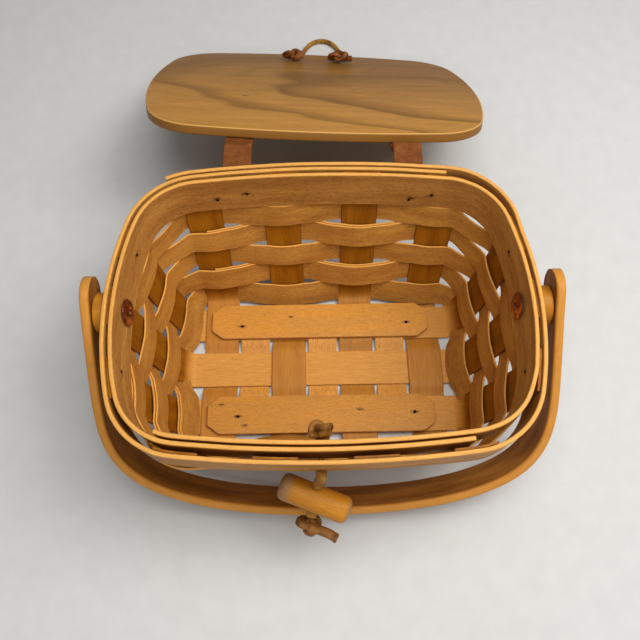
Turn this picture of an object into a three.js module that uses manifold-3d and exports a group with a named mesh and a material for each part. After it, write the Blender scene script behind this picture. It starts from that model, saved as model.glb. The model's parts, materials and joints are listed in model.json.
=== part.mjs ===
// Lidded splint basket: a woven tray of maple splints between two steamed rim bands, a bentwood swing
// handle on copper rivets, a board lid on leather straps, and a dowel toggle that closes the lid's loop.
// Millimetres, +Z up, +X to the basket's right, -Y to its front. The origin is under the middle of the base.
// It is shown as it lies in use: lid thrown open behind, handle swung down in front.

import * as THREE from 'three';
import { mergeVertices } from 'three/addons/utils/BufferGeometryUtils.js';
import Module from 'manifold-3d';

// Driving dimensions

// Rim, over the outer band
const rimHeight = 88.9;
const rimLength = 200.6;
const rimWidth = 153.6;
const rimCornerRadius = 36;
const rimEndRadius = 175;
const rimSideRadius = 547;

// Steamed bands
const bandHeight = 22.2;
const bandThickness = 2;
const bandLapGap = 1;
const bandLeanEnds = 3.5;
const bandLeanSides = 2.5;
const frontStandOff = 1.9;

// Splints
const splintThickness = 1;
const uprightWidth = 19.05;
const fillerWidth = 16.3;
const crossGap = 1.5;
const longWidth = 20.2;
const longGap = 7.4;
const uprightTopDrop = 1.5;
const weaverRows = 5;
const weaverGap = 0.36;
const weaverStart = 2.4;
const weaverCrown = 1.1;

// How the wall rises from the base
const footMargin = 2.7;
const footCornerRadius = 8;
const endRise = 0.52;
const sideRise = 0.78;
const fanEnds = 0.28;
const fanSides = 0.09;
const spreadAtBand = 0.85;
const spreadPower = 0.7;

// Base caps
const capLength = 124;
const capWidth = 21.1;
const capThickness = 2.2;
const capShift = -1.3;
const capCutLong = 6.5;
const capCutShort = 5;

// Handle and its pivots
const handleWidth = 22.2;
const handleThickness = 4.5;
const handleInnerWidth = 213;
const handleReach = 98.5;
const handleEndReach = 17.3;
const handleFrontSquareness = 2.04;
const handleLegSquareness = 6;
const handleLean = 0.017;
const pivotDrop = 12.3;
const washerDiameter = 19;
const washerThickness = 5.6;
const rivetHeadDiameter = 12.7;
const rivetHeadThickness = 1.3;
const rivetShankDiameter = 5.2;

// Lid
const lidLength = 199.2;
const lidWidth = 152.4;
const lidThickness = 5.2;
const lidCornerRadius = 32.3;
const lidEndRadius = 181;
const lidSideRadius = 513;
const lidEdgeRound = 0.9;
const lidOutlineCount = 72;
const lidSetLeft = 0.38;
const lidRearOverhang = 0.1;
const hingeBehindRim = 11.68;
const hingeAboveRim = 0.91;
const hingeRiseDegrees = -1.74;

// Leather
const strapWidth = 14.5;
const strapThickness = 2;
const strapLeftX = -41.5;
const strapRightX = 44;
const strapOnBand = 15;
const strapBelowRim = 5;
const strapOnLid = 20;
const strapLift = 4;
const laceDiameter = 3.2;
const loopCentre = 2;
const loopSpacing = 30;
const loopFromEdge = 15.5;
const loopReach = 24.5;
const knotSize = 12;
const innerKnotSize = 13;
const innerKnotRise = 2.5;
const tackShareOnStrap = 0.7;

// Toggle
const dowelDiameter = 12.7;
const dowelLength = 34;
const dowelEdgeRound = 1.2;
const dowelTurnDegrees = -21;
const toggleX = -2;
const toggleDrop = 18.9;
const dowelBelow = 20;
const dowelOut = 7.5;
const dowelLeft = 3.3;
const knotBelow = 34;
const knotOut = 16.5;
const knotLeft = 6;
const tailLength = 16;
const tailTurnDegrees = -28;

// Tacks
const tackHeadDiameter = 2.6;
const tackShankDiameter = 1.2;
const tackHeadThickness = 0.6;

// Fits
const clearance = 0.3;

// Worked-out sizes

const bandBottom = rimHeight - bandHeight;
const bandInner = splintThickness / 2 + clearance;
const bandOuter = bandInner + bandThickness;
const bandLap = bandThickness + bandLapGap;
const lowLevel = splintThickness / 2;
const middleLevel = lowLevel + splintThickness + clearance;
const highLevel = middleLevel + splintThickness + clearance;
const capBottom = highLevel + splintThickness / 2 + clearance;
const weaverPitch = (bandBottom - weaverStart) / weaverRows;
const longCentre = longWidth / 2 + longGap + longWidth / 2;
const capCentre = longCentre + (capWidth - longWidth) / 2;
const crossPitch = (uprightWidth + fillerWidth) / 2 + crossGap;
const baseHalfLength = 3 * crossPitch + uprightWidth / 2 + footMargin;
const baseHalfWidth = capCentre + capWidth / 2 + footMargin;
const pivotHeight = rimHeight - pivotDrop;
const toggleHeight = rimHeight - toggleDrop;
const holeRadius = rivetShankDiameter / 2 + clearance;

const radians = THREE.MathUtils.degToRad;
const lerp = THREE.MathUtils.lerp;
const clamp = THREE.MathUtils.clamp;
const vector = (x, y, z) => new THREE.Vector3(x, y, z);

// Materials

const wood = (color) => new THREE.MeshStandardMaterial({ color, roughness: 0.55, metalness: 0 });
const materials = {
  upright: wood('#b97a3c'),
  weaver: wood('#c58a4a'),
  filler: wood('#c08443'),
  cap: wood('#d3a267'),
  band: wood('#b5803f'),
  handle: wood('#a9702f'),
  lid: wood('#bd905a'),
  dowel: wood('#cf8f45'),
  leather: new THREE.MeshStandardMaterial({ color: '#8a4d2c', roughness: 0.75, metalness: 0 }),
  lace: new THREE.MeshStandardMaterial({ color: '#8b5a2b', roughness: 0.8, metalness: 0 }),
  copper: new THREE.MeshStandardMaterial({ color: '#9c5233', roughness: 0.35, metalness: 1 }),
  steel: new THREE.MeshStandardMaterial({ color: '#4a3a2c', roughness: 0.5, metalness: 1 }),
};

// Solid builders

// Closes a list of points and triangles into a geometry whose faces point outwards.
function closedGeometry(points, faces) {
  let volume = 0;
  const cross = vector(0, 0, 0);
  for (let i = 0; i < faces.length; i += 3) {
    cross.crossVectors(points[faces[i + 1]], points[faces[i + 2]]);
    volume += points[faces[i]].dot(cross);
  }
  const outward = volume > 0 ? faces : faces.slice().reverse();
  const geometry = new THREE.BufferGeometry().setFromPoints(points);
  geometry.setIndex(outward);
  geometry.computeVertexNormals();
  return geometry;
}

// Joins sections, each a ring of an even number of points, into one solid with flat ends.
function loft(sections) {
  const count = sections[0].length;
  const last = (sections.length - 1) * count;
  const faces = [];
  for (let row = 0; row + 1 < sections.length; row++) {
    for (let k = 0; k < count; k++) {
      const a = row * count + k;
      const b = row * count + ((k + 1) % count);
      faces.push(a, b, b + count);
      faces.push(a, b + count, a + count);
    }
  }
  for (let k = 0; k < count / 2 - 1; k++) {
    const ring = [k, k + 1, count - 2 - k, count - 1 - k];
    faces.push(ring[0], ring[2], ring[1]);
    faces.push(ring[0], ring[3], ring[2]);
    faces.push(last + ring[0], last + ring[1], last + ring[2]);
    faces.push(last + ring[0], last + ring[2], last + ring[3]);
  }
  return closedGeometry(sections.flat(), faces);
}

// Turns a profile of [radius, height] pairs about Z.
function turned(profile, segments) {
  const points = profile.map(([radius, height]) => new THREE.Vector2(radius, height));
  return new THREE.LatheGeometry(points, segments).rotateX(Math.PI / 2);
}

// A round tube along points.
function tube(points, diameter, steps, sides = 8) {
  const section = new THREE.Shape();
  section.absarc(0, 0, diameter / 2, 0, 2 * Math.PI);
  const path = new THREE.CatmullRomCurve3(points, false, 'centripetal');
  return new THREE.ExtrudeGeometry(section, { steps, extrudePath: path, curveSegments: sides });
}

// Boolean cuts and joins

const wasm = await Module();
wasm.setup();

function toSolid(geometry) {
  const bare = geometry.clone();
  bare.deleteAttribute('normal');
  bare.deleteAttribute('uv');
  const merged = mergeVertices(bare, 1e-4);
  return new wasm.Manifold(new wasm.Mesh({
    numProp: 3,
    vertProperties: new Float32Array(merged.attributes.position.array),
    triVerts: new Uint32Array(merged.index.array),
  }));
}

function fromSolid(solid) {
  const mesh = solid.getMesh();
  const geometry = new THREE.BufferGeometry();
  geometry.setAttribute('position', new THREE.BufferAttribute(new Float32Array(mesh.vertProperties), 3));
  geometry.setIndex(new THREE.BufferAttribute(new Uint32Array(mesh.triVerts), 1));
  geometry.computeVertexNormals();
  return geometry;
}

function cut(geometry, cutters) {
  let solid = toSolid(geometry);
  for (const cutter of cutters) {
    solid = solid.subtract(toSolid(cutter));
  }
  return fromSolid(solid);
}

function join(first, second) {
  return fromSolid(toSolid(first).add(toSolid(second)));
}

// A drill of the given radius from one point to another.
function drill(from, to, radius, sides = 12) {
  const along = to.clone().sub(from);
  const geometry = new THREE.CylinderGeometry(radius, radius, along.length(), sides);
  const turn = new THREE.Quaternion().setFromUnitVectors(vector(0, 1, 0), along.clone().normalize());
  const middle = from.clone().lerp(to, 0.5);
  return geometry.applyQuaternion(turn).translate(middle.x, middle.y, middle.z);
}

// Plan outline: a rounded rectangle whose ends and sides are shallow arcs

function roundedOutline({ halfLength, halfWidth, cornerRadius, endRadius, sideRadius }) {
  const endCentre = new THREE.Vector2(halfLength - endRadius, 0);
  const sideCentre = new THREE.Vector2(0, halfWidth - sideRadius);
  const fromEnd = endRadius - cornerRadius;
  const fromSide = sideRadius - cornerRadius;
  const between = sideCentre.clone().sub(endCentre);
  const gap = between.length();
  between.divideScalar(gap);
  const along = (fromEnd ** 2 - fromSide ** 2 + gap ** 2) / (2 * gap);
  const across = Math.sqrt(Math.max(fromEnd ** 2 - along ** 2, 0));
  const corner = new THREE.Vector2(-between.y, between.x).multiplyScalar(across);
  corner.addScaledVector(between, along).add(endCentre);
  const endAngle = Math.atan2(corner.y, corner.x - endCentre.x);
  const sideAngle = Math.atan2(corner.y - sideCentre.y, corner.x);
  const endArc = endRadius * endAngle;
  const cornerArc = cornerRadius * (sideAngle - endAngle);
  const quarter = endArc + cornerArc + sideRadius * (Math.PI / 2 - sideAngle);

  function inQuarter(distance) {
    let centre = endCentre;
    let radius = endRadius;
    let angle = distance / endRadius;
    if (distance > endArc + cornerArc) {
      centre = sideCentre;
      radius = sideRadius;
      angle = Math.PI / 2 - (quarter - distance) / sideRadius;
    } else if (distance > endArc) {
      centre = corner;
      radius = cornerRadius;
      angle = endAngle + (distance - endArc) / cornerRadius;
    }
    const normal = new THREE.Vector2(Math.cos(angle), Math.sin(angle));
    return { point: normal.clone().multiplyScalar(radius).add(centre), normal };
  }

  // The point and outward normal at a distance counter-clockwise from the middle of the right end.
  function at(distance) {
    const wrapped = THREE.MathUtils.euclideanModulo(distance, 4 * quarter);
    const index = Math.min(Math.floor(wrapped / quarter), 3);
    const local = wrapped - index * quarter;
    const mirrored = index % 2 === 1;
    const { point, normal } = inQuarter(mirrored ? quarter - local : local);
    const flip = new THREE.Vector2(index === 1 || index === 2 ? -1 : 1, index >= 2 ? -1 : 1);
    return { point: point.multiply(flip), normal: normal.multiply(flip) };
  }
  return { quarter, at };
}

// Wall surface: the middle of the uprights' thickness, at any height

function wallSpread(z) {
  const climb = clamp((z - middleLevel) / (bandBottom - middleLevel), 0, 1);
  const lean = clamp((z - bandBottom) / bandHeight, 0, 1);
  return { climb, lean, spread: spreadAtBand * climb ** spreadPower + (1 - spreadAtBand) * lean };
}

function wallOutline(z) {
  const { climb, lean, spread } = wallSpread(z);
  const waistHalfLength = rimLength / 2 - bandOuter - bandLeanEnds;
  const waistHalfWidth = (rimWidth - bandLap) / 2 - bandOuter - bandLeanSides;
  const bulge = Math.max(spread, 0.1);
  return roundedOutline({
    halfLength: lerp(baseHalfLength, waistHalfLength, climb ** endRise) + bandLeanEnds * lean,
    halfWidth: lerp(baseHalfWidth, waistHalfWidth, climb ** sideRise) + bandLeanSides * lean,
    cornerRadius: lerp(footCornerRadius, rimCornerRadius - bandOuter, spread),
    endRadius: (rimEndRadius - bandOuter) / bulge,
    sideRadius: (rimSideRadius - bandOuter) / bulge,
  });
}

// The bands lap at the back outside and at the front inside, so the wall sits forward at the rim.
const forwardShift = (z) => (bandLap / 2) * wallSpread(z).spread;

const rowEdges = [];
for (let row = 0; row <= weaverRows; row++) {
  rowEdges.push(weaverStart + row * weaverPitch);
}
rowEdges.push(rimHeight);

// A point at a height, straight between the rows' edges as flat splint is.
function betweenRows(z, pointAt) {
  let row = 0;
  while (row < rowEdges.length - 2 && z > rowEdges[row + 1]) {
    row++;
  }
  const share = (z - rowEdges[row]) / (rowEdges[row + 1] - rowEdges[row]);
  return pointAt(rowEdges[row]).lerp(pointAt(rowEdges[row + 1]), share);
}

// The wall's point and outward normal at a row's edge.
// distanceAt gives the place round the wall for an outline and a height.
function wallFrame(distanceAt, level) {
  const outline = wallOutline(level);
  const { point, normal } = outline.at(distanceAt(outline, level));
  return {
    point: vector(point.x, point.y - forwardShift(level), level),
    normal: vector(normal.x, normal.y, 0),
  };
}

function onWall(distanceAt, z, offset) {
  return betweenRows(z, (level) => {
    const { point, normal } = wallFrame(distanceAt, level);
    return point.addScaledVector(normal, offset);
  });
}

// A place on one wall: along is measured at the base from the wall's middle, towards +X or +Y.
function placeOn(side, along, shift = 0) {
  const starts = { right: 0, back: 1, left: 2, front: 3 };
  const sense = side === 'right' || side === 'front' ? 1 : -1;
  const fan = side === 'right' || side === 'left' ? fanEnds : fanSides;
  return (outline, z) => {
    const spread = 1 + fan * wallSpread(z).spread;
    return starts[side] * outline.quarter + sense * (along * spread + shift);
  };
}

// The fourteen upright legs in order round the wall, counter-clockwise from the right end's middle.
const crossAlong = [-3, -1, 1, 3].map((step) => step * crossPitch);
const legs = [
  { side: 'right', along: 0, width: longWidth },
  { side: 'right', along: longCentre, width: longWidth },
  ...crossAlong.toReversed().map((along) => ({ side: 'back', along, width: uprightWidth })),
  { side: 'left', along: longCentre, width: longWidth },
  { side: 'left', along: 0, width: longWidth },
  { side: 'left', along: -longCentre, width: longWidth },
  ...crossAlong.map((along) => ({ side: 'front', along, width: uprightWidth })),
  { side: 'right', along: -longCentre, width: longWidth },
];

// Round the wall in bays: 3 is the middle of leg 3, 3.25 its edge and 3.75 the next leg's edge.
const bayEdge = 0.25;

function placeInBay(bay) {
  const index = Math.floor(bay);
  const share = bay - index;
  return (outline, z) => {
    const round = 4 * outline.quarter;
    const legAt = (number) => {
      const leg = legs[THREE.MathUtils.euclideanModulo(number, legs.length)];
      const lap = Math.floor(number / legs.length) * round;
      const centre = placeOn(leg.side, leg.along)(outline, z);
      const wrapped = leg.side === 'right' && leg.along < 0 ? centre + round : centre;
      return { centre: wrapped + lap, half: leg.width / 2 };
    };
    const here = legAt(index);
    const next = legAt(index + 1);
    if (share < bayEdge) return here.centre + (share / bayEdge) * here.half;
    if (share > 1 - bayEdge) return next.centre - ((1 - share) / bayEdge) * next.half;
    const across = (share - bayEdge) / (1 - 2 * bayEdge);
    return lerp(here.centre + here.half, next.centre - next.half, across);
  };
}

// A bay goes round a corner where its two legs stand on different walls.
function isCornerBay(index) {
  const [here, next] = [index, index + 1].map((number) => legs[number % legs.length]);
  return here.side !== next.side;
}

// The bays where a strip has a section, closer together in the four corner bays.
const sectionsInBay = 3;
const sectionsInCornerBay = 7;

function bayStops(start, end) {
  const stops = [start];
  for (let index = Math.floor(start); index <= end; index++) {
    const parts = isCornerBay(index) ? sectionsInCornerBay : sectionsInBay;
    const shares = [0];
    for (let k = 0; k <= parts; k++) {
      shares.push(bayEdge + (k / parts) * (1 - 2 * bayEdge));
    }
    for (const share of shares) {
      if (index + share > start + 0.01 && index + share < end - 0.01) stops.push(index + share);
    }
  }
  stops.push(end);
  return stops;
}

const onBand = (bay, z, offset) => onWall(placeInBay(bay), z, offset);

// A weaver goes round a corner in its own curve, from one leg's edge to the next. It turns close to
// the legs and is nearly straight between them, so it cuts inside the wall's own round corner.
const cornerTension = 0.55;

function onWeaver(bay, z, offset) {
  const index = Math.floor(bay);
  const t = (bay - index - bayEdge) / (1 - 2 * bayEdge);
  if (!isCornerBay(index) || t <= 0 || t >= 1) return onBand(bay, z, offset);
  return betweenRows(z, (level) => {
    const from = wallFrame(placeInBay(index + bayEdge), level);
    const to = wallFrame(placeInBay(index + 1 - bayEdge), level);
    const pull = cornerTension * from.point.distanceTo(to.point);
    const leaving = vector(-from.normal.y, from.normal.x, 0).multiplyScalar(pull);
    const arriving = vector(-to.normal.y, to.normal.x, 0).multiplyScalar(pull);
    const chord = to.point.clone().sub(from.point);
    const point = from.point.clone()
      .addScaledVector(chord, 3 * t ** 2 - 2 * t ** 3)
      .addScaledVector(leaving, t ** 3 - 2 * t ** 2 + t)
      .addScaledVector(arriving, t ** 3 - t ** 2);
    const along = chord.multiplyScalar(6 * t - 6 * t ** 2)
      .addScaledVector(leaving, 3 * t ** 2 - 4 * t + 1)
      .addScaledVector(arriving, 3 * t ** 2 - 2 * t);
    return point.addScaledVector(vector(along.y, -along.x, 0).normalize(), offset);
  });
}

// A strip round the wall between two heights, with its middle off the wall by offsetAt(bay).
function ringStrip({ start, end, low, high, thickness, offsetAt, pointAt }) {
  return loft(bayStops(start, end).map((bay) => {
    const offset = offsetAt(bay);
    const inner = offset - thickness / 2;
    const outer = offset + thickness / 2;
    return [
      pointAt(bay, low, inner),
      pointAt(bay, high, inner),
      pointAt(bay, high, outer),
      pointAt(bay, low, outer),
    ];
  }));
}

// Weave: 1 is outside the leg, -1 is inside it, and the strip crosses between the legs' edges.
function weaveWave(bay) {
  const index = Math.floor(bay);
  const share = bay - index;
  const sign = index % 2 === 0 ? 1 : -1;
  const across = clamp((share - bayEdge) / (1 - 2 * bayEdge), 0, 1);
  return sign * Math.cos(Math.PI * across);
}

function weaveCrown(bay) {
  const near = Math.abs(bay - Math.round(bay)) / bayEdge;
  return Math.max(1 - near ** 2, 0);
}

const model = new THREE.Group();

function add(parent, name, geometry, material) {
  const mesh = new THREE.Mesh(geometry, material);
  mesh.name = name;
  parent.add(mesh);
  return mesh;
}

// Tacks

function tackGeometry(length) {
  const head = tackHeadDiameter / 2;
  const shank = tackShankDiameter / 2;
  return turned([[0, -length], [shank, -length], [shank, 0], [head, 0], [head * 0.7, tackHeadThickness],
    [0, tackHeadThickness]], 7);
}

// A tack on a surface point, with its head towards outward and its shank going length deep.
function tack(point, outward, length) {
  const seat = point.clone().addScaledVector(outward, clearance);
  const tip = point.clone().addScaledVector(outward, -length - clearance);
  const radius = tackShankDiameter / 2 + clearance;
  return { seat, outward, length: length + clearance, hole: drill(seat, tip, radius, 8) };
}

function addTack(parent, name, { seat, outward, length }) {
  const mesh = add(parent, name, tackGeometry(length), materials.steel);
  mesh.position.copy(seat);
  mesh.quaternion.setFromUnitVectors(vector(0, 0, 1), outward);
}

// The outward direction at a place on a wall, square to the leaning band.
function wallNormal(side, shift, z) {
  const at = (across, up) => onWall(placeOn(side, 0, shift + across), z + up, 0);
  const tangent = at(1, 0).sub(at(-1, 0));
  const rising = at(0, 1).sub(at(0, -1));
  const normal = tangent.cross(rising).normalize();
  const outward = at(0, 0).setZ(0);
  return normal.dot(outward) > 0 ? normal : normal.negate();
}

// Band tacks are driven from inside, through the inner band and the upright into the outer band.
// Each spot is a wall, the distance along it and the drop below the rim.
const bandTackSpots = [
  ['back', -53, 14.5], ['back', -37.4, 11.5], ['back', 45.9, 17.4], ['back', 57.1, 12.5],
  ['left', 33, 11.9], ['left', -30, 9.9], ['right', 30, 9.9], ['right', -32.5, 11.9],
];
const bandTacks = bandTackSpots.map(([side, shift, below]) => {
  const z = rimHeight - below;
  const place = placeOn(side, 0, shift);
  const depth = bandThickness + clearance + splintThickness + clearance + bandThickness / 2;
  return tack(onWall(place, z, -bandOuter), wallNormal(side, shift, z).negate(), depth);
});

// Cap tacks go through the cap and the strips under it.
const capTackSpots = [[-46, 1], [48.5, 1], [-46, -1], [49.5, -1]];
const capTop = capBottom + capThickness;
const capTackDepth = capTop - middleLevel;
const capTacks = capTackSpots.map(([x, side]) => (
  tack(vector(x, side * capCentre, capTop), vector(0, 0, 1), capTackDepth)));

// The washers stand on the outer band, and the handle's ends on the washers.
const washerInner = onWall(placeOn('right', 0), pivotHeight + washerDiameter / 2, bandOuter).x + clearance;
const washerOuter = washerInner + washerThickness;
const pivotHalf = washerOuter + clearance;
const handleHalf = handleInnerWidth / 2;

// Rivet holes run along X through both bands, the middle upright, the washers and the handle.
const pivotDrills = [-1, 1].map((side) => drill(
  vector(side * baseHalfLength, 0, pivotHeight),
  vector(side * (pivotHalf + 2 * handleThickness), 0, pivotHeight), holeRadius, 16));

// The toggle's lace goes out through both bands at the front.
const togglePlace = placeOn('front', 0, toggleX);
const toggleInside = onWall(togglePlace, toggleHeight, -bandOuter - bandLap - frontStandOff);
const toggleOutside = onWall(togglePlace, toggleHeight, bandOuter);
const laceHole = laceDiameter / 2 + clearance;
const toggleDrill = drill(toggleInside.clone().add(vector(0, 5, 0)),
  toggleOutside.clone().add(vector(0, -5, 0)), laceHole, 10);

// Uprights and fillers

// One section of a strip: columns across its width, inner face first, then the outer face backwards.
function stripSection(shifts, pointAt) {
  const inner = shifts.map((shift) => pointAt(shift, -1));
  const outer = shifts.map((shift) => pointAt(shift, 1));
  return [...inner, ...outer.reverse()];
}

// A strip that goes down one wall, across the base and up the facing wall.
function uprightGeometry({ sides, along, width, baseStops, endLevel, pointOnBase }) {
  const shifts = [-width / 2, 0, width / 2];
  const half = splintThickness / 2;
  const heights = [...rowEdges.slice(1, -1), rimHeight - uprightTopDrop];
  const leg = (side) => {
    const bend = stripSection(shifts, (shift, face) => (
      onWall(placeOn(side, along, shift), endLevel - face * half, face * half)));
    const rising = heights.map((z) => stripSection(shifts, (shift, face) => (
      onWall(placeOn(side, along, shift), z, face * half))));
    return [bend, ...rising];
  };
  const base = baseStops.map(([distance, level]) => stripSection(shifts, (shift, face) => (
    pointOnBase(distance, shift, level - face * half))));
  return loft([...leg(sides[0]).reverse(), ...base, ...leg(sides[1])]);
}

// Levels of a crosswise strip along the base, from front to back.
function crossStops(middle, outer) {
  const near = longWidth / 2 + clearance / 2;
  const far = longCentre - longWidth / 2 - clearance / 2;
  return [[-far, outer], [-near, middle], [near, middle], [far, outer]];
}

const crossNames = ['upright_far_left', 'upright_left', 'upright_right', 'upright_far_right'];
const drillsInUprights = [...bandTacks.map(({ hole }) => hole), ...capTacks.map(({ hole }) => hole)];
crossAlong.forEach((along, index) => {
  const underMiddle = index % 2 === 0;
  const middle = underMiddle ? lowLevel : highLevel;
  const outer = underMiddle ? highLevel : lowLevel;
  const geometry = uprightGeometry({
    sides: ['front', 'back'],
    along,
    width: uprightWidth,
    baseStops: crossStops(middle, outer),
    endLevel: outer,
    pointOnBase: (distance, shift, z) => vector(along + shift, distance, z),
  });
  add(model, crossNames[index], cut(geometry, drillsInUprights), materials.upright);
});

const longNames = ['upright_long_front', 'upright_long_middle', 'upright_long_rear'];
longNames.forEach((name, index) => {
  const along = (index - 1) * longCentre;
  const geometry = uprightGeometry({
    sides: ['left', 'right'],
    along,
    width: longWidth,
    baseStops: [[-crossPitch, middleLevel], [crossPitch, middleLevel]],
    endLevel: middleLevel,
    pointOnBase: (distance, shift, z) => vector(distance, along + shift, z),
  });
  add(model, name, cut(geometry, [...drillsInUprights, ...pivotDrills]), materials.upright);
});

const fillerNames = ['filler_left', 'filler_middle', 'filler_right'];
fillerNames.forEach((name, index) => {
  const x = (index - 1) * 2 * crossPitch;
  const end = capCentre + capWidth / 2 - footMargin;
  const stops = [[-end, highLevel], ...crossStops(lowLevel, highLevel), [end, highLevel]];
  const sections = stops.map(([y, level]) => stripSection([-fillerWidth / 2, fillerWidth / 2],
    (shift, face) => vector(x + shift, y, level - face * splintThickness / 2)));
  add(model, name, cut(loft(sections), capTacks.map(({ hole }) => hole)), materials.filler);
});

// Base caps with cut corners

function capGeometry() {
  const x = capLength / 2;
  const y = capWidth / 2;
  const outline = [
    [-x, y - capCutShort], [-x, capCutShort - y], [capCutLong - x, -y], [x - capCutLong, -y],
    [x, capCutShort - y], [x, y - capCutShort], [x - capCutLong, y], [capCutLong - x, y],
  ];
  const shape = new THREE.Shape(outline.map(([px, py]) => new THREE.Vector2(px, py)));
  return new THREE.ExtrudeGeometry(shape, { depth: capThickness, bevelEnabled: false });
}

['base_cap_rear', 'base_cap_front'].forEach((name, index) => {
  const side = index === 0 ? 1 : -1;
  const geometry = capGeometry().translate(capShift, side * capCentre, capBottom);
  add(model, name, cut(geometry, capTacks.map(({ hole }) => hole)), materials.cap);
});

// Weavers, counted from the top row. A row starts outside a leg and runs on behind its own start for a few
// legs, so that both its ends are hidden. Rows start on the left and at the back by turns.

const leftLapStart = 7;
const backLapStart = 2;
const lapBays = 3;
for (let row = 0; row < weaverRows; row++) {
  const low = rowEdges[weaverRows - 1 - row] + weaverGap / 2;
  const lapStart = row % 2 === 0 ? leftLapStart : backLapStart;
  const lastBay = lapStart + legs.length + lapBays;
  const reach = splintThickness + clearance;
  const doubled = (bay) => {
    const afterStart = clamp(1 - (bay - lapStart - lapBays), 0, 1);
    const beforeEnd = clamp(1 - (lapStart + legs.length - bay), 0, 1);
    return { share: Math.max(afterStart, beforeEnd), layer: afterStart > beforeEnd ? -1 : 1 };
  };
  const rowSign = row % 2 === 0 ? -1 : 1;
  const offsetAt = (bay) => {
    const { share, layer } = doubled(bay);
    const wave = rowSign * weaveWave(bay);
    const out = reach + (share * reach) / 2 + weaverCrown * weaveCrown(bay);
    return wave * out + (layer * share * reach) / 2;
  };
  const strip = {
    start: lapStart,
    end: lastBay,
    low,
    high: low + weaverPitch - weaverGap,
    thickness: splintThickness,
    offsetAt,
    pointAt: onWeaver,
  };
  add(model, `weaver_${row + 1}`, ringStrip(strip), materials.weaver);
}

// Bands: the inner one laps over itself inside at the front, the outer one outside at the back

const bandMiddle = bandInner + bandThickness / 2;
const innerLap = { start: 8.7, end: 12 };
const outerLap = { start: 2, end: 5.3 };
const lapRiseBays = 0.75;

// The inner band stands further off the uprights along the front wall, legs 9 to 12.
function standOff(bay) {
  const round = THREE.MathUtils.euclideanModulo(bay, legs.length);
  return -frontStandOff * THREE.MathUtils.smoothstep(Math.min(round - 8, 13 - round), 0, 1);
}

function lapShare(bays) {
  return clamp(bays / lapRiseBays, 0, 1);
}

const innerBand = ringStrip({
  start: innerLap.start,
  end: innerLap.end + legs.length,
  low: bandBottom,
  high: rimHeight,
  thickness: bandThickness,
  offsetAt: (bay) => standOff(bay) - bandMiddle - bandLap * lapShare(innerLap.end + 1 - bay),
  pointAt: onBand,
});
const outerBand = ringStrip({
  start: outerLap.start,
  end: outerLap.end + legs.length,
  low: bandBottom,
  high: rimHeight,
  thickness: bandThickness,
  offsetAt: (bay) => bandMiddle + bandLap * lapShare(bay - outerLap.start - legs.length + 1),
  pointAt: onBand,
});

// Handle, modelled upright with its pivot line along X through its own origin

function hoopGeometry() {
  const steps = 44;
  const inner = [];
  for (let k = 0; k <= steps; k++) {
    const angle = (Math.PI * k) / steps;
    const c = Math.cos(angle);
    const away = Math.sin(angle) ** (2 / handleLegSquareness);
    const half = lerp(pivotHalf, handleHalf, away * (2 - away));
    const across = Math.sign(c) * half * Math.abs(c) ** (2 / handleFrontSquareness);
    inner.push(new THREE.Vector2(across + handleLean * handleReach * away, handleReach * away));
  }
  const half = handleWidth / 2;
  const section = (point, normal, halfWidth) => {
    const outer = point.clone().addScaledVector(normal, handleThickness);
    return [
      vector(point.x, -halfWidth, point.y),
      vector(point.x, halfWidth, point.y),
      vector(outer.x, halfWidth, outer.y),
      vector(outer.x, -halfWidth, outer.y),
    ];
  };
  const hoop = inner.map((point, k) => {
    const before = inner[Math.max(k - 1, 0)];
    const after = inner[Math.min(k + 1, steps)];
    const tangent = after.clone().sub(before).normalize();
    const normal = new THREE.Vector2(tangent.y, -tangent.x);
    const upright = k === 0 || k === steps;
    return section(point, upright ? new THREE.Vector2(Math.sign(point.x), 0) : normal, half);
  });
  const roundEnd = (side) => [0, 0.25, 0.5, 0.7, 0.85, 0.95].map((share) => {
    const angle = (Math.PI / 2) * share;
    const past = handleEndReach - half + half * Math.sin(angle);
    const point = new THREE.Vector2(side * pivotHalf, -past);
    return section(point, new THREE.Vector2(side, 0), half * Math.cos(angle));
  });
  return loft([...roundEnd(1).reverse(), ...hoop, ...roundEnd(-1)]);
}

// The handle lies with its lower edge on the table.
const hoopOuter = handleReach + handleThickness;
const hoopCorner = Math.hypot(hoopOuter, handleWidth / 2);
const fall = Math.acos((pivotHeight - clearance) / hoopCorner) + Math.atan2(handleWidth / 2, hoopOuter);
const handle = new THREE.Group();
handle.position.set(0, 0, pivotHeight);
handle.rotation.x = Math.PI - fall;
model.add(handle);
const hoopDrills = pivotDrills.map((cutter) => cutter.clone().translate(0, 0, -pivotHeight));
add(handle, 'handle', cut(hoopGeometry(), hoopDrills), materials.handle);

// Washers and rivets

const rivetInner = onWall(placeOn('right', 0), pivotHeight - rivetHeadDiameter / 2, -bandOuter).x - clearance;
const rivetOuter = pivotHalf + handleThickness + clearance;

function washerGeometry() {
  const outside = washerDiameter / 2;
  return turned([[holeRadius, washerInner], [outside, washerInner], [outside, washerOuter],
    [holeRadius, washerOuter], [holeRadius, washerInner]], 24);
}

function rivetGeometry() {
  const head = rivetHeadDiameter / 2;
  const shank = rivetShankDiameter / 2;
  const tall = rivetHeadThickness;
  return turned([
    [0, rivetInner - tall * 0.3], [shank * 0.7, rivetInner - tall * 0.3], [shank, rivetInner - tall],
    [head * 0.8, rivetInner - tall * 0.8], [head, rivetInner - tall * 0.2], [head, rivetInner],
    [shank, rivetInner], [shank, rivetOuter], [head, rivetOuter], [head, rivetOuter + tall * 0.3],
    [head * 0.7, rivetOuter + tall], [0, rivetOuter + tall],
  ], 16);
}

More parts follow.
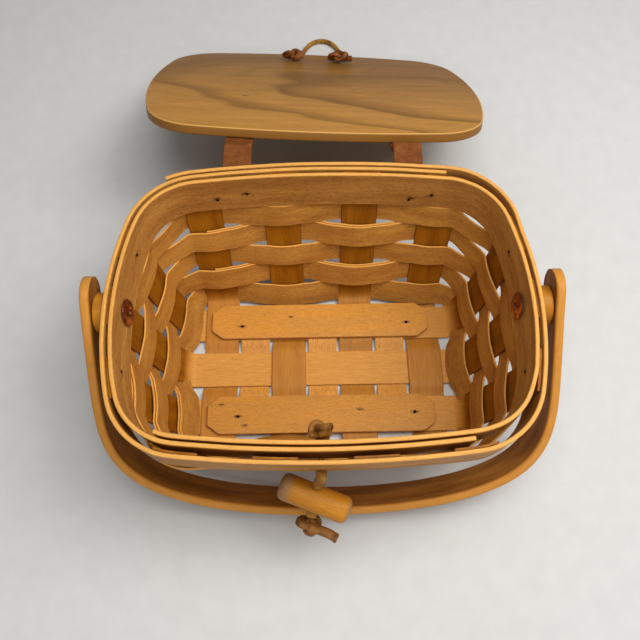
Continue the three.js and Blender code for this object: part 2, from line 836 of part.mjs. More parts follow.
[['left', -1], ['right', 1]].forEach(([side, sense]) => {
  for (const [kind, geometry, material] of [
    ['washer', washerGeometry(), materials.dowel], ['rivet', rivetGeometry(), materials.copper]]) {
    const mesh = add(model, `${kind}_${side}`, geometry, material);
    mesh.position.z = pivotHeight;
    mesh.rotation.y = (sense * Math.PI) / 2;
  }
});

// Lid, modelled shut and then thrown open about its hinge line

const lidBottom = rimHeight + clearance;
const lidTop = lidBottom + lidThickness;
const lidRear = rimWidth / 2 + lidRearOverhang;
const lidFront = lidRear - lidWidth;
const hingePoint = vector(0, rimWidth / 2 + hingeBehindRim, rimHeight + hingeAboveRim);
const hingeRise = radians(hingeRiseDegrees);
const hingeAxis = vector(Math.cos(hingeRise), 0, Math.sin(hingeRise));

function lidOutlinePoints(inset) {
  const outline = roundedOutline({
    halfLength: lidLength / 2 - inset,
    halfWidth: lidWidth / 2 - inset,
    cornerRadius: lidCornerRadius - inset,
    endRadius: lidEndRadius - inset,
    sideRadius: lidSideRadius - inset,
  });
  const round = 4 * outline.quarter;
  return Array.from({ length: lidOutlineCount }, (_, k) => outline.at((round * k) / lidOutlineCount).point);
}

// Turns a point of the shut lid to where it lies when the lid is open by angle.
function opened(point, angle) {
  return point.clone().sub(hingePoint).applyAxisAngle(hingeAxis, -angle).add(hingePoint);
}

function shut(point, angle) {
  return point.clone().sub(hingePoint).applyAxisAngle(hingeAxis, angle).add(hingePoint);
}

const lidCentre = vector(-lidSetLeft, (lidRear + lidFront) / 2, lidBottom);
const lidTopEdge = lidOutlinePoints(0).map((point) => vector(point.x, point.y, lidThickness).add(lidCentre));
const lowestOf = (angle) => Math.min(...lidTopEdge.map((point) => opened(point, angle).z));

// The open lid lies on its lace loop, which is on the table.
const lidRestHeight = laceDiameter + 3 * clearance;
let lidOpen = Math.PI;
for (let step = Math.PI / 8; step > 1e-7; step /= 2) {
  if (lowestOf(lidOpen + step) > lidRestHeight) {
    lidOpen += step;
  }
}

const lid = new THREE.Group();
lid.position.copy(hingePoint);
lid.quaternion.setFromAxisAngle(hingeAxis, -lidOpen);
model.add(lid);
const lidFrame = new THREE.Group();
lidFrame.position.copy(hingePoint).negate();
lid.add(lidFrame);

function lidGeometry() {
  const round = lidEdgeRound;
  const layers = [[round, 0], [0, round], [0, lidThickness - round], [round, lidThickness]];
  const points = [];
  const faces = [];
  const count = lidOutlineCount;
  for (const [inset, z] of layers) {
    for (const point of lidOutlinePoints(inset)) {
      points.push(vector(point.x, point.y, z).add(lidCentre));
    }
  }
  for (let layer = 0; layer + 1 < layers.length; layer++) {
    for (let k = 0; k < count; k++) {
      const a = layer * count + k;
      const b = layer * count + ((k + 1) % count);
      faces.push(a, b, b + count);
      faces.push(a, b + count, a + count);
    }
  }
  const top = (layers.length - 1) * count;
  for (let k = 1; k + 1 < count; k++) {
    faces.push(0, k + 1, k);
    faces.push(top, top + k, top + k + 1);
  }
  return closedGeometry(points, faces);
}

// Lace loop through two holes near the lid's front edge

const loopX = [-1, 1].map((side) => loopCentre + (side * loopSpacing) / 2);
const loopY = lidFront + loopFromEdge;
const loopDrills = loopX.map((x) => (
  drill(vector(x, loopY, lidBottom - 1), vector(x, loopY, lidTop + 1), laceHole)));
const laceOnTop = lidTop + clearance + laceDiameter / 2;
const loopFar = opened(vector(loopCentre, lidFront, lidTop), lidOpen).y + loopReach;
const onTable = (x, back) => shut(vector(x, loopFar - back, clearance * 1.5 + laceDiameter / 2), lidOpen);

const loopPoints = [
  vector(loopX[0], loopY, lidBottom),
  vector(loopX[0], loopY, lidTop),
  vector(loopX[0], loopY - 0.6, laceOnTop + 0.3),
  vector(loopX[0], loopY - 2.2, laceOnTop + 1.1),
  vector(loopX[0] + 0.5, loopY - 5.5, laceOnTop + 0.5),
  vector(loopX[0] + 1, lidFront + 4, laceOnTop),
  onTable(loopX[0] + 1.5, loopReach - 3),
  onTable(loopX[0] + 4, 10),
  onTable(loopCentre - 5, 2),
  onTable(loopCentre + 2.5, 0),
  onTable(loopCentre + 9, 3),
  onTable(loopX[1] - 1, 11),
  onTable(loopX[1] - 0.5, loopReach - 3),
  vector(loopX[1] - 0.7, lidFront + 4, laceOnTop),
  vector(loopX[1] - 0.5, loopY - 5.5, laceOnTop + 0.5),
  vector(loopX[1], loopY - 2.2, laceOnTop + 1.1),
  vector(loopX[1], loopY - 0.6, laceOnTop + 0.3),
  vector(loopX[1], loopY, lidTop),
  vector(loopX[1], loopY, lidBottom),
];
add(lidFrame, 'lid_loop', tube(loopPoints, laceDiameter, 48, 4), materials.lace);

function knotGeometry(length, depth, height) {
  return new THREE.SphereGeometry(1, 12, 8).scale(length / 2, depth / 2, height / 2);
}

['lid_knot_left', 'lid_knot_right'].forEach((name, index) => {
  const height = knotSize * 0.6;
  const mesh = add(lidFrame, name, knotGeometry(knotSize, knotSize * 0.65, height), materials.lace);
  mesh.position.set(loopX[index], loopY, lidBottom - clearance - height / 2);
});

// Leather straps from the outer band to the lid's upper face

const strapTacks = [];
const strapTacksOnLid = [];
const strapGeometries = [strapLeftX, strapRightX].map((centre) => {
  const onOuter = bandOuter + bandLap + clearance;
  const bandTop = rimHeight - strapBelowRim;
  const columns = [-strapWidth / 2, 0, strapWidth / 2];
  const path = (shift, face) => {
    const off = strapThickness / 2 + (face * strapThickness) / 2;
    const place = placeOn('back', 0, centre + shift);
    const x = centre + shift;
    const onOuterBand = (below) => onWall(place, bandTop - below, onOuter + off);
    const onLid = (from) => opened(vector(x, lidRear - from, lidTop + clearance + off), lidOpen);
    const edge = onLid(0);
    const lifted = edge.clone().add(edge.clone().sub(onLid(strapOnLid)).setLength(strapLift));
    const free = new THREE.CatmullRomCurve3([
      onOuterBand(0),
      onOuterBand(0).add(vector(0, strapLift * 0.3 - off * 0.3, strapLift * 0.8 - off * 0.4)),
      lifted.clone().lerp(onOuterBand(0), 0.45).setZ(bandTop + strapLift - off),
      lifted,
      edge,
    ], false, 'centripetal');
    return [
      onOuterBand(strapOnBand),
      onOuterBand(strapOnBand / 2),
      ...free.getPoints(10),
      onLid(strapOnLid / 2),
      onLid(strapOnLid),
    ];
  };
  for (const shift of [-strapWidth / 4, strapWidth / 4]) {
    const place = placeOn('back', 0, centre + shift);
    const z = bandTop - strapOnBand * tackShareOnStrap;
    const outward = wallNormal('back', centre + shift, z);
    const seat = onWall(place, z, onOuter + strapThickness);
    strapTacks.push(tack(seat, outward, strapThickness + bandThickness));
    const onTop = vector(centre + shift, lidRear - strapOnLid * tackShareOnStrap,
      lidTop + clearance + strapThickness);
    strapTacksOnLid.push(tack(onTop, vector(0, 0, 1), strapThickness + lidThickness / 2));
  }
  const faces = [-1, 1].map((face) => columns.map((shift) => path(shift, face)));
  const sections = faces[0][0].map((_, row) => [
    ...faces[0].map((column) => column[row]),
    ...faces[1].map((column) => column[row]).reverse(),
  ]);
  return loft(sections);
});

const lidTackHoles = strapTacksOnLid.map(({ hole }) => hole);
add(lidFrame, 'lid', cut(lidGeometry(), [...loopDrills, ...lidTackHoles]), materials.lid);
const openedHoles = lidTackHoles.map((hole) => (
  hole.clone().translate(-hingePoint.x, -hingePoint.y, -hingePoint.z)
    .applyQuaternion(lid.quaternion).translate(hingePoint.x, hingePoint.y, hingePoint.z)));
const strapTackHoles = strapTacks.map(({ hole }) => hole);
['strap_left', 'strap_right'].forEach((name, index) => {
  const geometry = cut(strapGeometries[index], [...strapTackHoles, ...openedHoles]);
  add(model, name, geometry, materials.leather);
});
strapTacks.forEach((spot, index) => addTack(model, `strap_tack_${index + 1}`, spot));
strapTacksOnLid.forEach((spot, index) => addTack(lidFrame, `lid_tack_${index + 1}`, spot));

// Bands, drilled

const bandTackHoles = bandTacks.map(({ hole }) => hole);
const bandDrills = [...pivotDrills, toggleDrill, ...bandTackHoles, ...strapTackHoles];
add(model, 'inner_band', cut(innerBand, bandDrills), materials.band);
add(model, 'outer_band', cut(outerBand, bandDrills), materials.band);
bandTacks.forEach((spot, index) => addTack(model, `band_tack_${index + 1}`, spot));
capTacks.forEach((spot, index) => addTack(model, `cap_tack_${index + 1}`, spot));

// Toggle: the lace comes out of the front wall, through the dowel, and ends in a knot

const innerKnot = add(model, 'toggle_inner_knot',
  knotGeometry(innerKnotSize, innerKnotSize * 0.7, innerKnotSize * 0.8), materials.lace);
innerKnot.position.copy(toggleInside).add(vector(0, clearance + innerKnotSize * 0.35, innerKnotRise));
add(model, 'toggle_lace_stub', tube([
  toggleInside.clone(),
  toggleInside.clone().lerp(toggleOutside, 0.5),
  toggleOutside.clone(),
], laceDiameter, 3, 4), materials.lace);

const togglePivot = toggleOutside.clone().add(vector(0, -clearance, 0));
const dowelCentre = togglePivot.clone().add(vector(-dowelLeft, -dowelOut, -dowelBelow));
const knotCentre = togglePivot.clone().add(vector(-knotLeft, -knotOut, -knotBelow));
const laceAlong = knotCentre.clone().sub(togglePivot).normalize();
const knotTop = knotCentre.clone().addScaledVector(laceAlong, -knotSize * 0.4 - 2 * clearance);
const lacePath = [
  togglePivot.clone(),
  togglePivot.clone().add(vector(0, -1.5, -0.1)),
  togglePivot.clone().add(vector(-0.5, -3.4, -2.2)),
  dowelCentre.clone().addScaledVector(laceAlong, -dowelDiameter / 2),
  dowelCentre.clone().addScaledVector(laceAlong, dowelDiameter / 2),
  knotTop,
];
add(model, 'toggle_lace', tube(lacePath, laceDiameter, 14, 4), materials.lace);

const dowelRadius = dowelDiameter / 2;
const dowelFace = dowelRadius - dowelEdgeRound;
const dowelProfile = [[0, 0], [dowelFace, 0], [dowelRadius, dowelEdgeRound],
  [dowelRadius, dowelLength - dowelEdgeRound], [dowelFace, dowelLength], [0, dowelLength]];
const dowelBody = turned(dowelProfile, 20).translate(0, 0, -dowelLength / 2).rotateY(Math.PI / 2)
  .rotateZ(radians(dowelTurnDegrees)).translate(dowelCentre.x, dowelCentre.y, dowelCentre.z);
const dowelDrill = drill(dowelCentre.clone().addScaledVector(laceAlong, -dowelDiameter),
  dowelCentre.clone().addScaledVector(laceAlong, dowelDiameter), laceDiameter / 2 + 2 * clearance);
add(model, 'toggle_dowel', cut(dowelBody, [dowelDrill]), materials.dowel);

const outerKnot = knotGeometry(knotSize, knotSize * 0.8, knotSize * 0.8)
  .translate(knotCentre.x, knotCentre.y, knotCentre.z);
const tailTip = vector(tailLength, 0, 0).applyAxisAngle(vector(0, 0, 1), radians(tailTurnDegrees))
  .add(knotCentre).add(vector(0, 0, -1));
const tail = tube([knotCentre, knotCentre.clone().lerp(tailTip, 0.5).add(vector(0, 0, 1)), tailTip],
  laceDiameter, 6, 4);
add(model, 'toggle_knot', join(outerKnot, tail), materials.lace);

export default model;
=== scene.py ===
"""Lidded splint basket: the looks of each piece, made around the basket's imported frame.

Metres, +Z up, +X to the basket's right, -Y to its front, origin under the middle of the base.
The weave, bands, handle and laces follow paths, so they are Geometry Nodes strips and tubes; the lid,
base caps, rivets, washers and dowel are mesh code. Every wooden piece carries its own grain direction.
"""

import functools
import json
import math

import bmesh
import bpy
import numpy as np
from mathutils import Matrix, Vector
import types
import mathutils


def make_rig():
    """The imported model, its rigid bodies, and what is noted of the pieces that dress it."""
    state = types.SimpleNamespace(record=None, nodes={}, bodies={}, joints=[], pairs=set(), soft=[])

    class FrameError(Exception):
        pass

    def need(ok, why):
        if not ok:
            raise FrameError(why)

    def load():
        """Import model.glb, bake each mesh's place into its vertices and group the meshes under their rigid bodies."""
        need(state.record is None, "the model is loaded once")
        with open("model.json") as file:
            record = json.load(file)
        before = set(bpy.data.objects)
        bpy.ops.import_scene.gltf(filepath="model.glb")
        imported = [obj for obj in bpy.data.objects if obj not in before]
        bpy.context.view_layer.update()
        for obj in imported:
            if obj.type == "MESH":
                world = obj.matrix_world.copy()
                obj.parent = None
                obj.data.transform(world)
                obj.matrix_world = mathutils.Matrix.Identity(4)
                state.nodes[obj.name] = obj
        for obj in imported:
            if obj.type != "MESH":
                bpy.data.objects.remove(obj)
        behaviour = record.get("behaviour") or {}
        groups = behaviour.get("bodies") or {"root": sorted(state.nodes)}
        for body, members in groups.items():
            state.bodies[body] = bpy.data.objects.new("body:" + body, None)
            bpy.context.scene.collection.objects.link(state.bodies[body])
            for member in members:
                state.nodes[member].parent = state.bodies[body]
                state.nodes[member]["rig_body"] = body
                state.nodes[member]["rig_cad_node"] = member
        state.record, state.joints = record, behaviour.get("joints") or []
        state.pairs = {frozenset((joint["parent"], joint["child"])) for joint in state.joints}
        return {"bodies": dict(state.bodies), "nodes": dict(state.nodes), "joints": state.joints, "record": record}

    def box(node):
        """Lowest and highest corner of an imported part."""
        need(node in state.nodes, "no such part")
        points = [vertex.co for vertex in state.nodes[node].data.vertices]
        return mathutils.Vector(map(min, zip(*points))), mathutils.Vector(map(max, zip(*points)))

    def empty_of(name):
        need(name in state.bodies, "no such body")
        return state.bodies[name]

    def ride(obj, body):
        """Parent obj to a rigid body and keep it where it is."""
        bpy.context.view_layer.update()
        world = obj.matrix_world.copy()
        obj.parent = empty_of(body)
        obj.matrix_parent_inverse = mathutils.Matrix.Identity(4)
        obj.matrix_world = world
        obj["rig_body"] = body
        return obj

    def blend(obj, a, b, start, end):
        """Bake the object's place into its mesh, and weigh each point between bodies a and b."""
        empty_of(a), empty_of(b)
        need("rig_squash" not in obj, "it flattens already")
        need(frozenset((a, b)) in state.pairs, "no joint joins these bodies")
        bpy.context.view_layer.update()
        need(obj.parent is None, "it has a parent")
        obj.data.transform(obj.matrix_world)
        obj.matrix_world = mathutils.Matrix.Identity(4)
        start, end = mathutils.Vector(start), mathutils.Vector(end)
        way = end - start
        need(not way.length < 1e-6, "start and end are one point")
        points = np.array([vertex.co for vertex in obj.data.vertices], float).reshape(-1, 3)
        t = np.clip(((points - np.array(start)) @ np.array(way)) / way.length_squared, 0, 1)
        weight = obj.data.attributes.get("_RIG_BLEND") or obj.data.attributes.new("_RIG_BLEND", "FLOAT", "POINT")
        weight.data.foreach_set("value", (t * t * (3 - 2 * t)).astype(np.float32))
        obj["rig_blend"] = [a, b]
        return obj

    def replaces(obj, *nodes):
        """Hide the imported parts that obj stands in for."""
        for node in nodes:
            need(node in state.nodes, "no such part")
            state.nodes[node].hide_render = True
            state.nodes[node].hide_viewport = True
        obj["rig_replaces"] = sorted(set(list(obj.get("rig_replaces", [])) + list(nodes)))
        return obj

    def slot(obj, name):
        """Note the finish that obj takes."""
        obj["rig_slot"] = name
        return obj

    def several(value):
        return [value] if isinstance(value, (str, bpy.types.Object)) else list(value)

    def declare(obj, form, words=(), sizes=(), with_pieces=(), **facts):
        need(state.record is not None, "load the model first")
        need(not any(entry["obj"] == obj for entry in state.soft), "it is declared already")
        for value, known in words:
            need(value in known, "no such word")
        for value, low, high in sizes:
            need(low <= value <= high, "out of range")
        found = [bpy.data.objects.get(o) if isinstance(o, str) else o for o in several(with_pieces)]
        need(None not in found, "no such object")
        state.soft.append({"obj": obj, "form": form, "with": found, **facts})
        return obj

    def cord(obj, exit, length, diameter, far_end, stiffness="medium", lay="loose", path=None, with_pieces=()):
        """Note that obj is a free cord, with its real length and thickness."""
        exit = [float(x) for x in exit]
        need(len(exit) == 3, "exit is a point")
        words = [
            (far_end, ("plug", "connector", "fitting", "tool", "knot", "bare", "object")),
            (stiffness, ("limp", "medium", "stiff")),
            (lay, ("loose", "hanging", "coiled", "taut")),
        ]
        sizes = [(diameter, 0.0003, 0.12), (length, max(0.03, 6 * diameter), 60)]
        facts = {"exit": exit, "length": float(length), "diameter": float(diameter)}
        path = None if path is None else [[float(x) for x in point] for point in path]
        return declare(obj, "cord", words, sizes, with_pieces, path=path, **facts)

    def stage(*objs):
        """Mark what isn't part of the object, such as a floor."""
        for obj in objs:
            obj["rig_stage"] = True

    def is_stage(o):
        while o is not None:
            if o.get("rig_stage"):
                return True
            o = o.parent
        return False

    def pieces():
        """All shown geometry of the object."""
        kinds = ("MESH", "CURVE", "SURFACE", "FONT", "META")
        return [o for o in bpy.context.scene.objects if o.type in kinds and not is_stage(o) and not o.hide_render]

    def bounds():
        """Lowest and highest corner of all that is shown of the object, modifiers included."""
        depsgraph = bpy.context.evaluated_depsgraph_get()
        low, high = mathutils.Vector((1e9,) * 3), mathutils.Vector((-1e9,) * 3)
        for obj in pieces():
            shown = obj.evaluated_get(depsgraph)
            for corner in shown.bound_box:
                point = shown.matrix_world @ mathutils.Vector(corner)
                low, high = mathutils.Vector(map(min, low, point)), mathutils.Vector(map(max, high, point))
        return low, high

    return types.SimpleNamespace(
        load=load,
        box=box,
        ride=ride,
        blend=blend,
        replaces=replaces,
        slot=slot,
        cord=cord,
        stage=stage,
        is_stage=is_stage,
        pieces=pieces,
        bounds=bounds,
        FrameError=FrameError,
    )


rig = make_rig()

bl_info = {
    "name": "Lidded Splint Basket",
    "version": (1, 0, 0),
    "blender": (4, 5, 0),
    "location": "View3D > Sidebar > Basket",
    "description": "Makes a woven splint basket with a board lid, swing handle and dowel toggle",
    "category": "Add Mesh",
}

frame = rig.load()
CAD_BOX = [list(corner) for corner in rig.bounds()]

MM = 0.001
CLEARANCE = 0.3 * MM

# Rim and bands, read from the frame where a box gives them
RIM_LOW, RIM_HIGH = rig.box("outer_band")
RIM_HEIGHT = RIM_HIGH.z
BAND_BOTTOM = RIM_LOW.z
BAND_HEIGHT = RIM_HEIGHT - BAND_BOTTOM
RIM_LENGTH = 200.6 * MM
RIM_WIDTH = 153.6 * MM
RIM_CORNER_RADIUS = 36 * MM
RIM_END_RADIUS = 175 * MM
RIM_SIDE_RADIUS = 547 * MM
BAND_THICKNESS = 2 * MM
BAND_LAP = 3 * MM
BAND_LEAN_ENDS = 3.5 * MM
BAND_LEAN_SIDES = 2.5 * MM
FRONT_STAND_OFF = 1.9 * MM

# Splints
SPLINT = 1 * MM
UPRIGHT_WIDTH = 19.05 * MM
FILLER_WIDTH = 16.3 * MM
LONG_WIDTH = 20.2 * MM
LONG_GAP = 7.4 * MM
CROSS_GAP = 1.5 * MM
UPRIGHT_TOP_DROP = 1.5 * MM
WEAVER_ROWS = 5
WEAVER_GAP = 0.36 * MM
WEAVER_START = 2.4 * MM
WEAVER_CROWN = 1.1 * MM
CORNER_TENSION = 0.55
CORNER_DIP = 2.8 * MM
SPLINT_STEP = 2 * MM

# How the wall rises from the base
FOOT_MARGIN = 2.7 * MM
FOOT_CORNER_RADIUS = 8 * MM
END_RISE = 0.52
SIDE_RISE = 0.78
FAN_ENDS = 0.28
FAN_SIDES = 0.09
SPREAD_AT_BAND = 0.85
SPREAD_POWER = 0.7

# Base caps
CAP_LENGTH = 124 * MM
CAP_WIDTH = 21.1 * MM
CAP_THICKNESS = 2.2 * MM
CAP_SHIFT = -1.3 * MM
CAP_CUT_LONG = 6.5 * MM
CAP_CUT_SHORT = 5 * MM

# Handle and pivots
HANDLE_WIDTH = 22.2 * MM
HANDLE_THICKNESS = 4.5 * MM
HANDLE_INNER_HALF = 106.5 * MM
HANDLE_REACH = 98.5 * MM
HANDLE_END_REACH = 17.3 * MM
HANDLE_FRONT_SQUARENESS = 2.04
HANDLE_LEG_SQUARENESS = 6
HANDLE_LEAN = 0.017
PIVOT_HEIGHT = RIM_HEIGHT - 12.3 * MM
PIVOT_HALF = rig.box("washer_right")[1].x + CLEARANCE

# Lid
LID_LENGTH = 199.2 * MM
LID_WIDTH = 152.4 * MM
LID_THICKNESS = 5.2 * MM
LID_CORNER_RADIUS = 32.3 * MM
LID_END_RADIUS = 181 * MM
LID_SIDE_RADIUS = 513 * MM
LID_SET_LEFT = 0.38 * MM
LID_REAR = RIM_WIDTH / 2 + 0.1 * MM

# Leather
STRAP_WIDTH = 14.5 * MM
STRAP_THICKNESS = 2 * MM
STRAP_X = (-41.5 * MM, 44 * MM)
STRAP_SKEW = (0, 1.4 * MM)
STRAP_ROUNDING = 0.7 * MM
STRAP_ON_BAND = 15 * MM
STRAP_ON_LID = 20 * MM
STRAP_BELOW_RIM = 5 * MM
STRAP_LIFT = 4 * MM
STRAP_STEP = 0.8 * MM
TACK_SHARE_ON_STRAP = 0.7
LACE_WIDTH = 3.2 * MM
LOOP_CENTRE = 2 * MM
LOOP_SPACING = 30 * MM
LOOP_FROM_EDGE = 15.5 * MM
LOOP_REACH = 24.5 * MM

# Worked-out levels and places
BAND_INNER = SPLINT / 2 + CLEARANCE
BAND_OUTER = BAND_INNER + BAND_THICKNESS
LOW_LEVEL = SPLINT / 2
MIDDLE_LEVEL = LOW_LEVEL + SPLINT + CLEARANCE
HIGH_LEVEL = MIDDLE_LEVEL + SPLINT + CLEARANCE
CAP_BOTTOM = HIGH_LEVEL + SPLINT / 2 + CLEARANCE
WEAVER_PITCH = (BAND_BOTTOM - WEAVER_START) / WEAVER_ROWS
LONG_CENTRE = LONG_WIDTH + LONG_GAP
CAP_CENTRE = LONG_CENTRE + (CAP_WIDTH - LONG_WIDTH) / 2
CROSS_PITCH = (UPRIGHT_WIDTH + FILLER_WIDTH) / 2 + CROSS_GAP
BASE_HALF_LENGTH = 3 * CROSS_PITCH + UPRIGHT_WIDTH / 2 + FOOT_MARGIN
BASE_HALF_WIDTH = CAP_CENTRE + CAP_WIDTH / 2 + FOOT_MARGIN
LEGS = 14
BAY_EDGE = 0.25


def joint(name):
    """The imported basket's joint of that name."""
    return next(row for row in frame["joints"] if row["name"] == name)


LID_JOINT = joint("lid_swing")
HINGE = Vector(LID_JOINT["pos_m"])
HINGE_AXIS = Vector(LID_JOINT["axis"]).normalized()
LID_OPEN = math.radians(LID_JOINT["range_deg"][1])
LID_BOTTOM = RIM_HEIGHT + CLEARANCE
LID_TOP = LID_BOTTOM + LID_THICKNESS
LID_FRONT = LID_REAR - LID_WIDTH


# Plan outline and wall


def euclid(value, whole):
    """What is left of a value when all the wholes in it are taken away, never negative."""
    return value - math.floor(value / whole) * whole


class Outline:
    """A rounded rectangle whose ends and sides are shallow arcs."""

    def __init__(self, half_length, half_width, corner_radius, end_radius, side_radius):
        self.radii = (end_radius, corner_radius, side_radius)
        self.end = np.array((half_length - end_radius, 0.0))
        self.side = np.array((0.0, half_width - side_radius))
        from_end, from_side = end_radius - corner_radius, side_radius - corner_radius
        between = self.side - self.end
        gap = np.linalg.norm(between)
        between /= gap
        along = (from_end**2 - from_side**2 + gap**2) / (2 * gap)
        across = math.sqrt(max(from_end**2 - along**2, 0))
        self.corner = self.end + between * along + np.array((-between[1], between[0])) * across
        self.end_angle = math.atan2(self.corner[1], self.corner[0] - self.end[0])
        self.side_angle = math.atan2(self.corner[1] - self.side[1], self.corner[0])
        self.end_arc = end_radius * self.end_angle
        self.corner_arc = corner_radius * (self.side_angle - self.end_angle)
        self.quarter = self.end_arc + self.corner_arc + side_radius * (math.pi / 2 - self.side_angle)

    def in_quarter(self, distance):
        """The point and normal at a distance from the right end's middle, up to the rear side's middle."""
        end_radius, corner_radius, side_radius = self.radii
        if distance > self.end_arc + self.corner_arc:
            centre, radius = self.side, side_radius
            angle = math.pi / 2 - (self.quarter - distance) / side_radius
        elif distance > self.end_arc:
            centre, radius = self.corner, corner_radius
            angle = self.end_angle + (distance - self.end_arc) / corner_radius
        else:
            centre, radius, angle = self.end, end_radius, distance / end_radius
        normal = np.array((math.cos(angle), math.sin(angle)))
        return centre + normal * radius, normal

    def at(self, distance):
        """The point and outward normal at a distance counter-clockwise from the right end's middle."""
        wrapped = euclid(distance, 4 * self.quarter)
        index = min(int(wrapped // self.quarter), 3)
        local = wrapped - index * self.quarter
        point, normal = self.in_quarter(self.quarter - local if index % 2 else local)
        flip = np.array((-1 if index in (1, 2) else 1, -1 if index >= 2 else 1))
        return point * flip, normal * flip


def mix(a, b, share):
    """The value a share of the way from a to b."""
    return a + (b - a) * share


def clamp(value, low=0.0, high=1.0):
    """The value, kept between low and high."""
    return min(max(value, low), high)


def hermite(t, start, end, leaving, arriving):
    """The point at share t of a curve between two points, with the directions it leaves and arrives in."""
    eased = 3 * t**2 - 2 * t**3
    return start + (end - start) * eased + leaving * (t**3 - 2 * t**2 + t) + arriving * (t**3 - t**2)


def wall_spread(z):
    """How far a height is up the wall, how far up the band, and how much of the flare it has."""
    climb = clamp((z - MIDDLE_LEVEL) / (BAND_BOTTOM - MIDDLE_LEVEL))
    lean = clamp((z - BAND_BOTTOM) / BAND_HEIGHT)
    return climb, lean, SPREAD_AT_BAND * climb**SPREAD_POWER + (1 - SPREAD_AT_BAND) * lean


@functools.lru_cache(maxsize=None)
def wall_outline(z):
    """The outline of the middle of the uprights' thickness at a height."""
    climb, lean, spread = wall_spread(z)
    waist_length = RIM_LENGTH / 2 - BAND_OUTER - BAND_LEAN_ENDS
    waist_width = (RIM_WIDTH - BAND_LAP) / 2 - BAND_OUTER - BAND_LEAN_SIDES
    bulge = max(spread, 0.1)
    return Outline(
        mix(BASE_HALF_LENGTH, waist_length, climb**END_RISE) + BAND_LEAN_ENDS * lean,
        mix(BASE_HALF_WIDTH, waist_width, climb**SIDE_RISE) + BAND_LEAN_SIDES * lean,
        mix(FOOT_CORNER_RADIUS, RIM_CORNER_RADIUS - BAND_OUTER, spread),
        (RIM_END_RADIUS - BAND_OUTER) / bulge,
        (RIM_SIDE_RADIUS - BAND_OUTER) / bulge,
    )


ROW_EDGES = [WEAVER_START + row * WEAVER_PITCH for row in range(WEAVER_ROWS + 1)] + [RIM_HEIGHT]


def between_rows(z, point_at):
    """A point at a height, straight between the rows' edges as flat splint is."""
    row = 0
    while row < len(ROW_EDGES) - 2 and z > ROW_EDGES[row + 1]:
        row += 1
    low, high = ROW_EDGES[row : row + 2]
    return mix(point_at(low), point_at(high), (z - low) / (high - low))


def wall_frame(place, level):
    """The wall's point and outward normal at a row's edge."""
    outline = wall_outline(level)
    point, normal = outline.at(place(outline, level))
    shift = BAND_LAP / 2 * wall_spread(level)[2]
    return np.array((point[0], point[1] - shift, level)), np.array((normal[0], normal[1], 0))


def on_wall(place, z, offset):
    """A point off the wall by offset."""

    def point_at(level):
        point, normal = wall_frame(place, level)
        return point + normal * offset

    return between_rows(z, point_at)


def wall_normal(side, shift, z):
    """The direction square to a leaning wall, outwards."""
    here = on_wall(place_on(side, 0, shift), z, 0)
    across = on_wall(place_on(side, 0, shift + MM), z, 0) - here
    rising = on_wall(place_on(side, 0, shift), z + MM, 0) - here
    normal = np.cross(across, rising)
    normal /= np.linalg.norm(normal)
    return normal if normal[:2] @ here[:2] > 0 else -normal


def place_on(side, along, shift=0.0):
    """A place on one wall: along is measured at the base from the wall's middle, towards +X or +Y."""
    start = {"right": 0, "back": 1, "left": 2, "front": 3}[side]
    sense = 1 if side in ("right", "front") else -1
    fan = FAN_ENDS if side in ("right", "left") else FAN_SIDES

    def place(outline, z):
        return start * outline.quarter + sense * (along * (1 + fan * wall_spread(z)[2]) + shift)

    return place


CROSS_ALONG = [step * CROSS_PITCH for step in (-3, -1, 1, 3)]
LEG_PLACES = [
    ("right", 0, LONG_WIDTH),
    ("right", LONG_CENTRE, LONG_WIDTH),
    *[("back", along, UPRIGHT_WIDTH) for along in reversed(CROSS_ALONG)],
    ("left", LONG_CENTRE, LONG_WIDTH),
    ("left", 0, LONG_WIDTH),
    ("left", -LONG_CENTRE, LONG_WIDTH),
    *[("front", along, UPRIGHT_WIDTH) for along in CROSS_ALONG],
    ("right", -LONG_CENTRE, LONG_WIDTH),
]


def place_in_bay(bay):
    """A place round the wall: 3 is the middle of leg 3, 3.25 its edge and 3.75 the next leg's edge."""
    index = math.floor(bay)
    share = bay - index

    def place(outline, z):
        whole = 4 * outline.quarter

        def leg_at(number):
            side, along, width = LEG_PLACES[number % LEGS]
            centre = place_on(side, along)(outline, z)
            if side == "right" and along < 0:
                centre += whole
            return centre + math.floor(number / LEGS) * whole, width / 2

        here, here_half = leg_at(index)
        there, there_half = leg_at(index + 1)
        if share < BAY_EDGE:
            return here + share / BAY_EDGE * here_half
        if share > 1 - BAY_EDGE:
            return there - (1 - share) / BAY_EDGE * there_half
        across = (share - BAY_EDGE) / (1 - 2 * BAY_EDGE)
        return mix(here + here_half, there - there_half, across)

    return place


def on_band(bay, z, offset):
    """A point off the wall by offset, at a place round it that is given in bays."""
    return on_wall(place_in_bay(bay), z, offset)


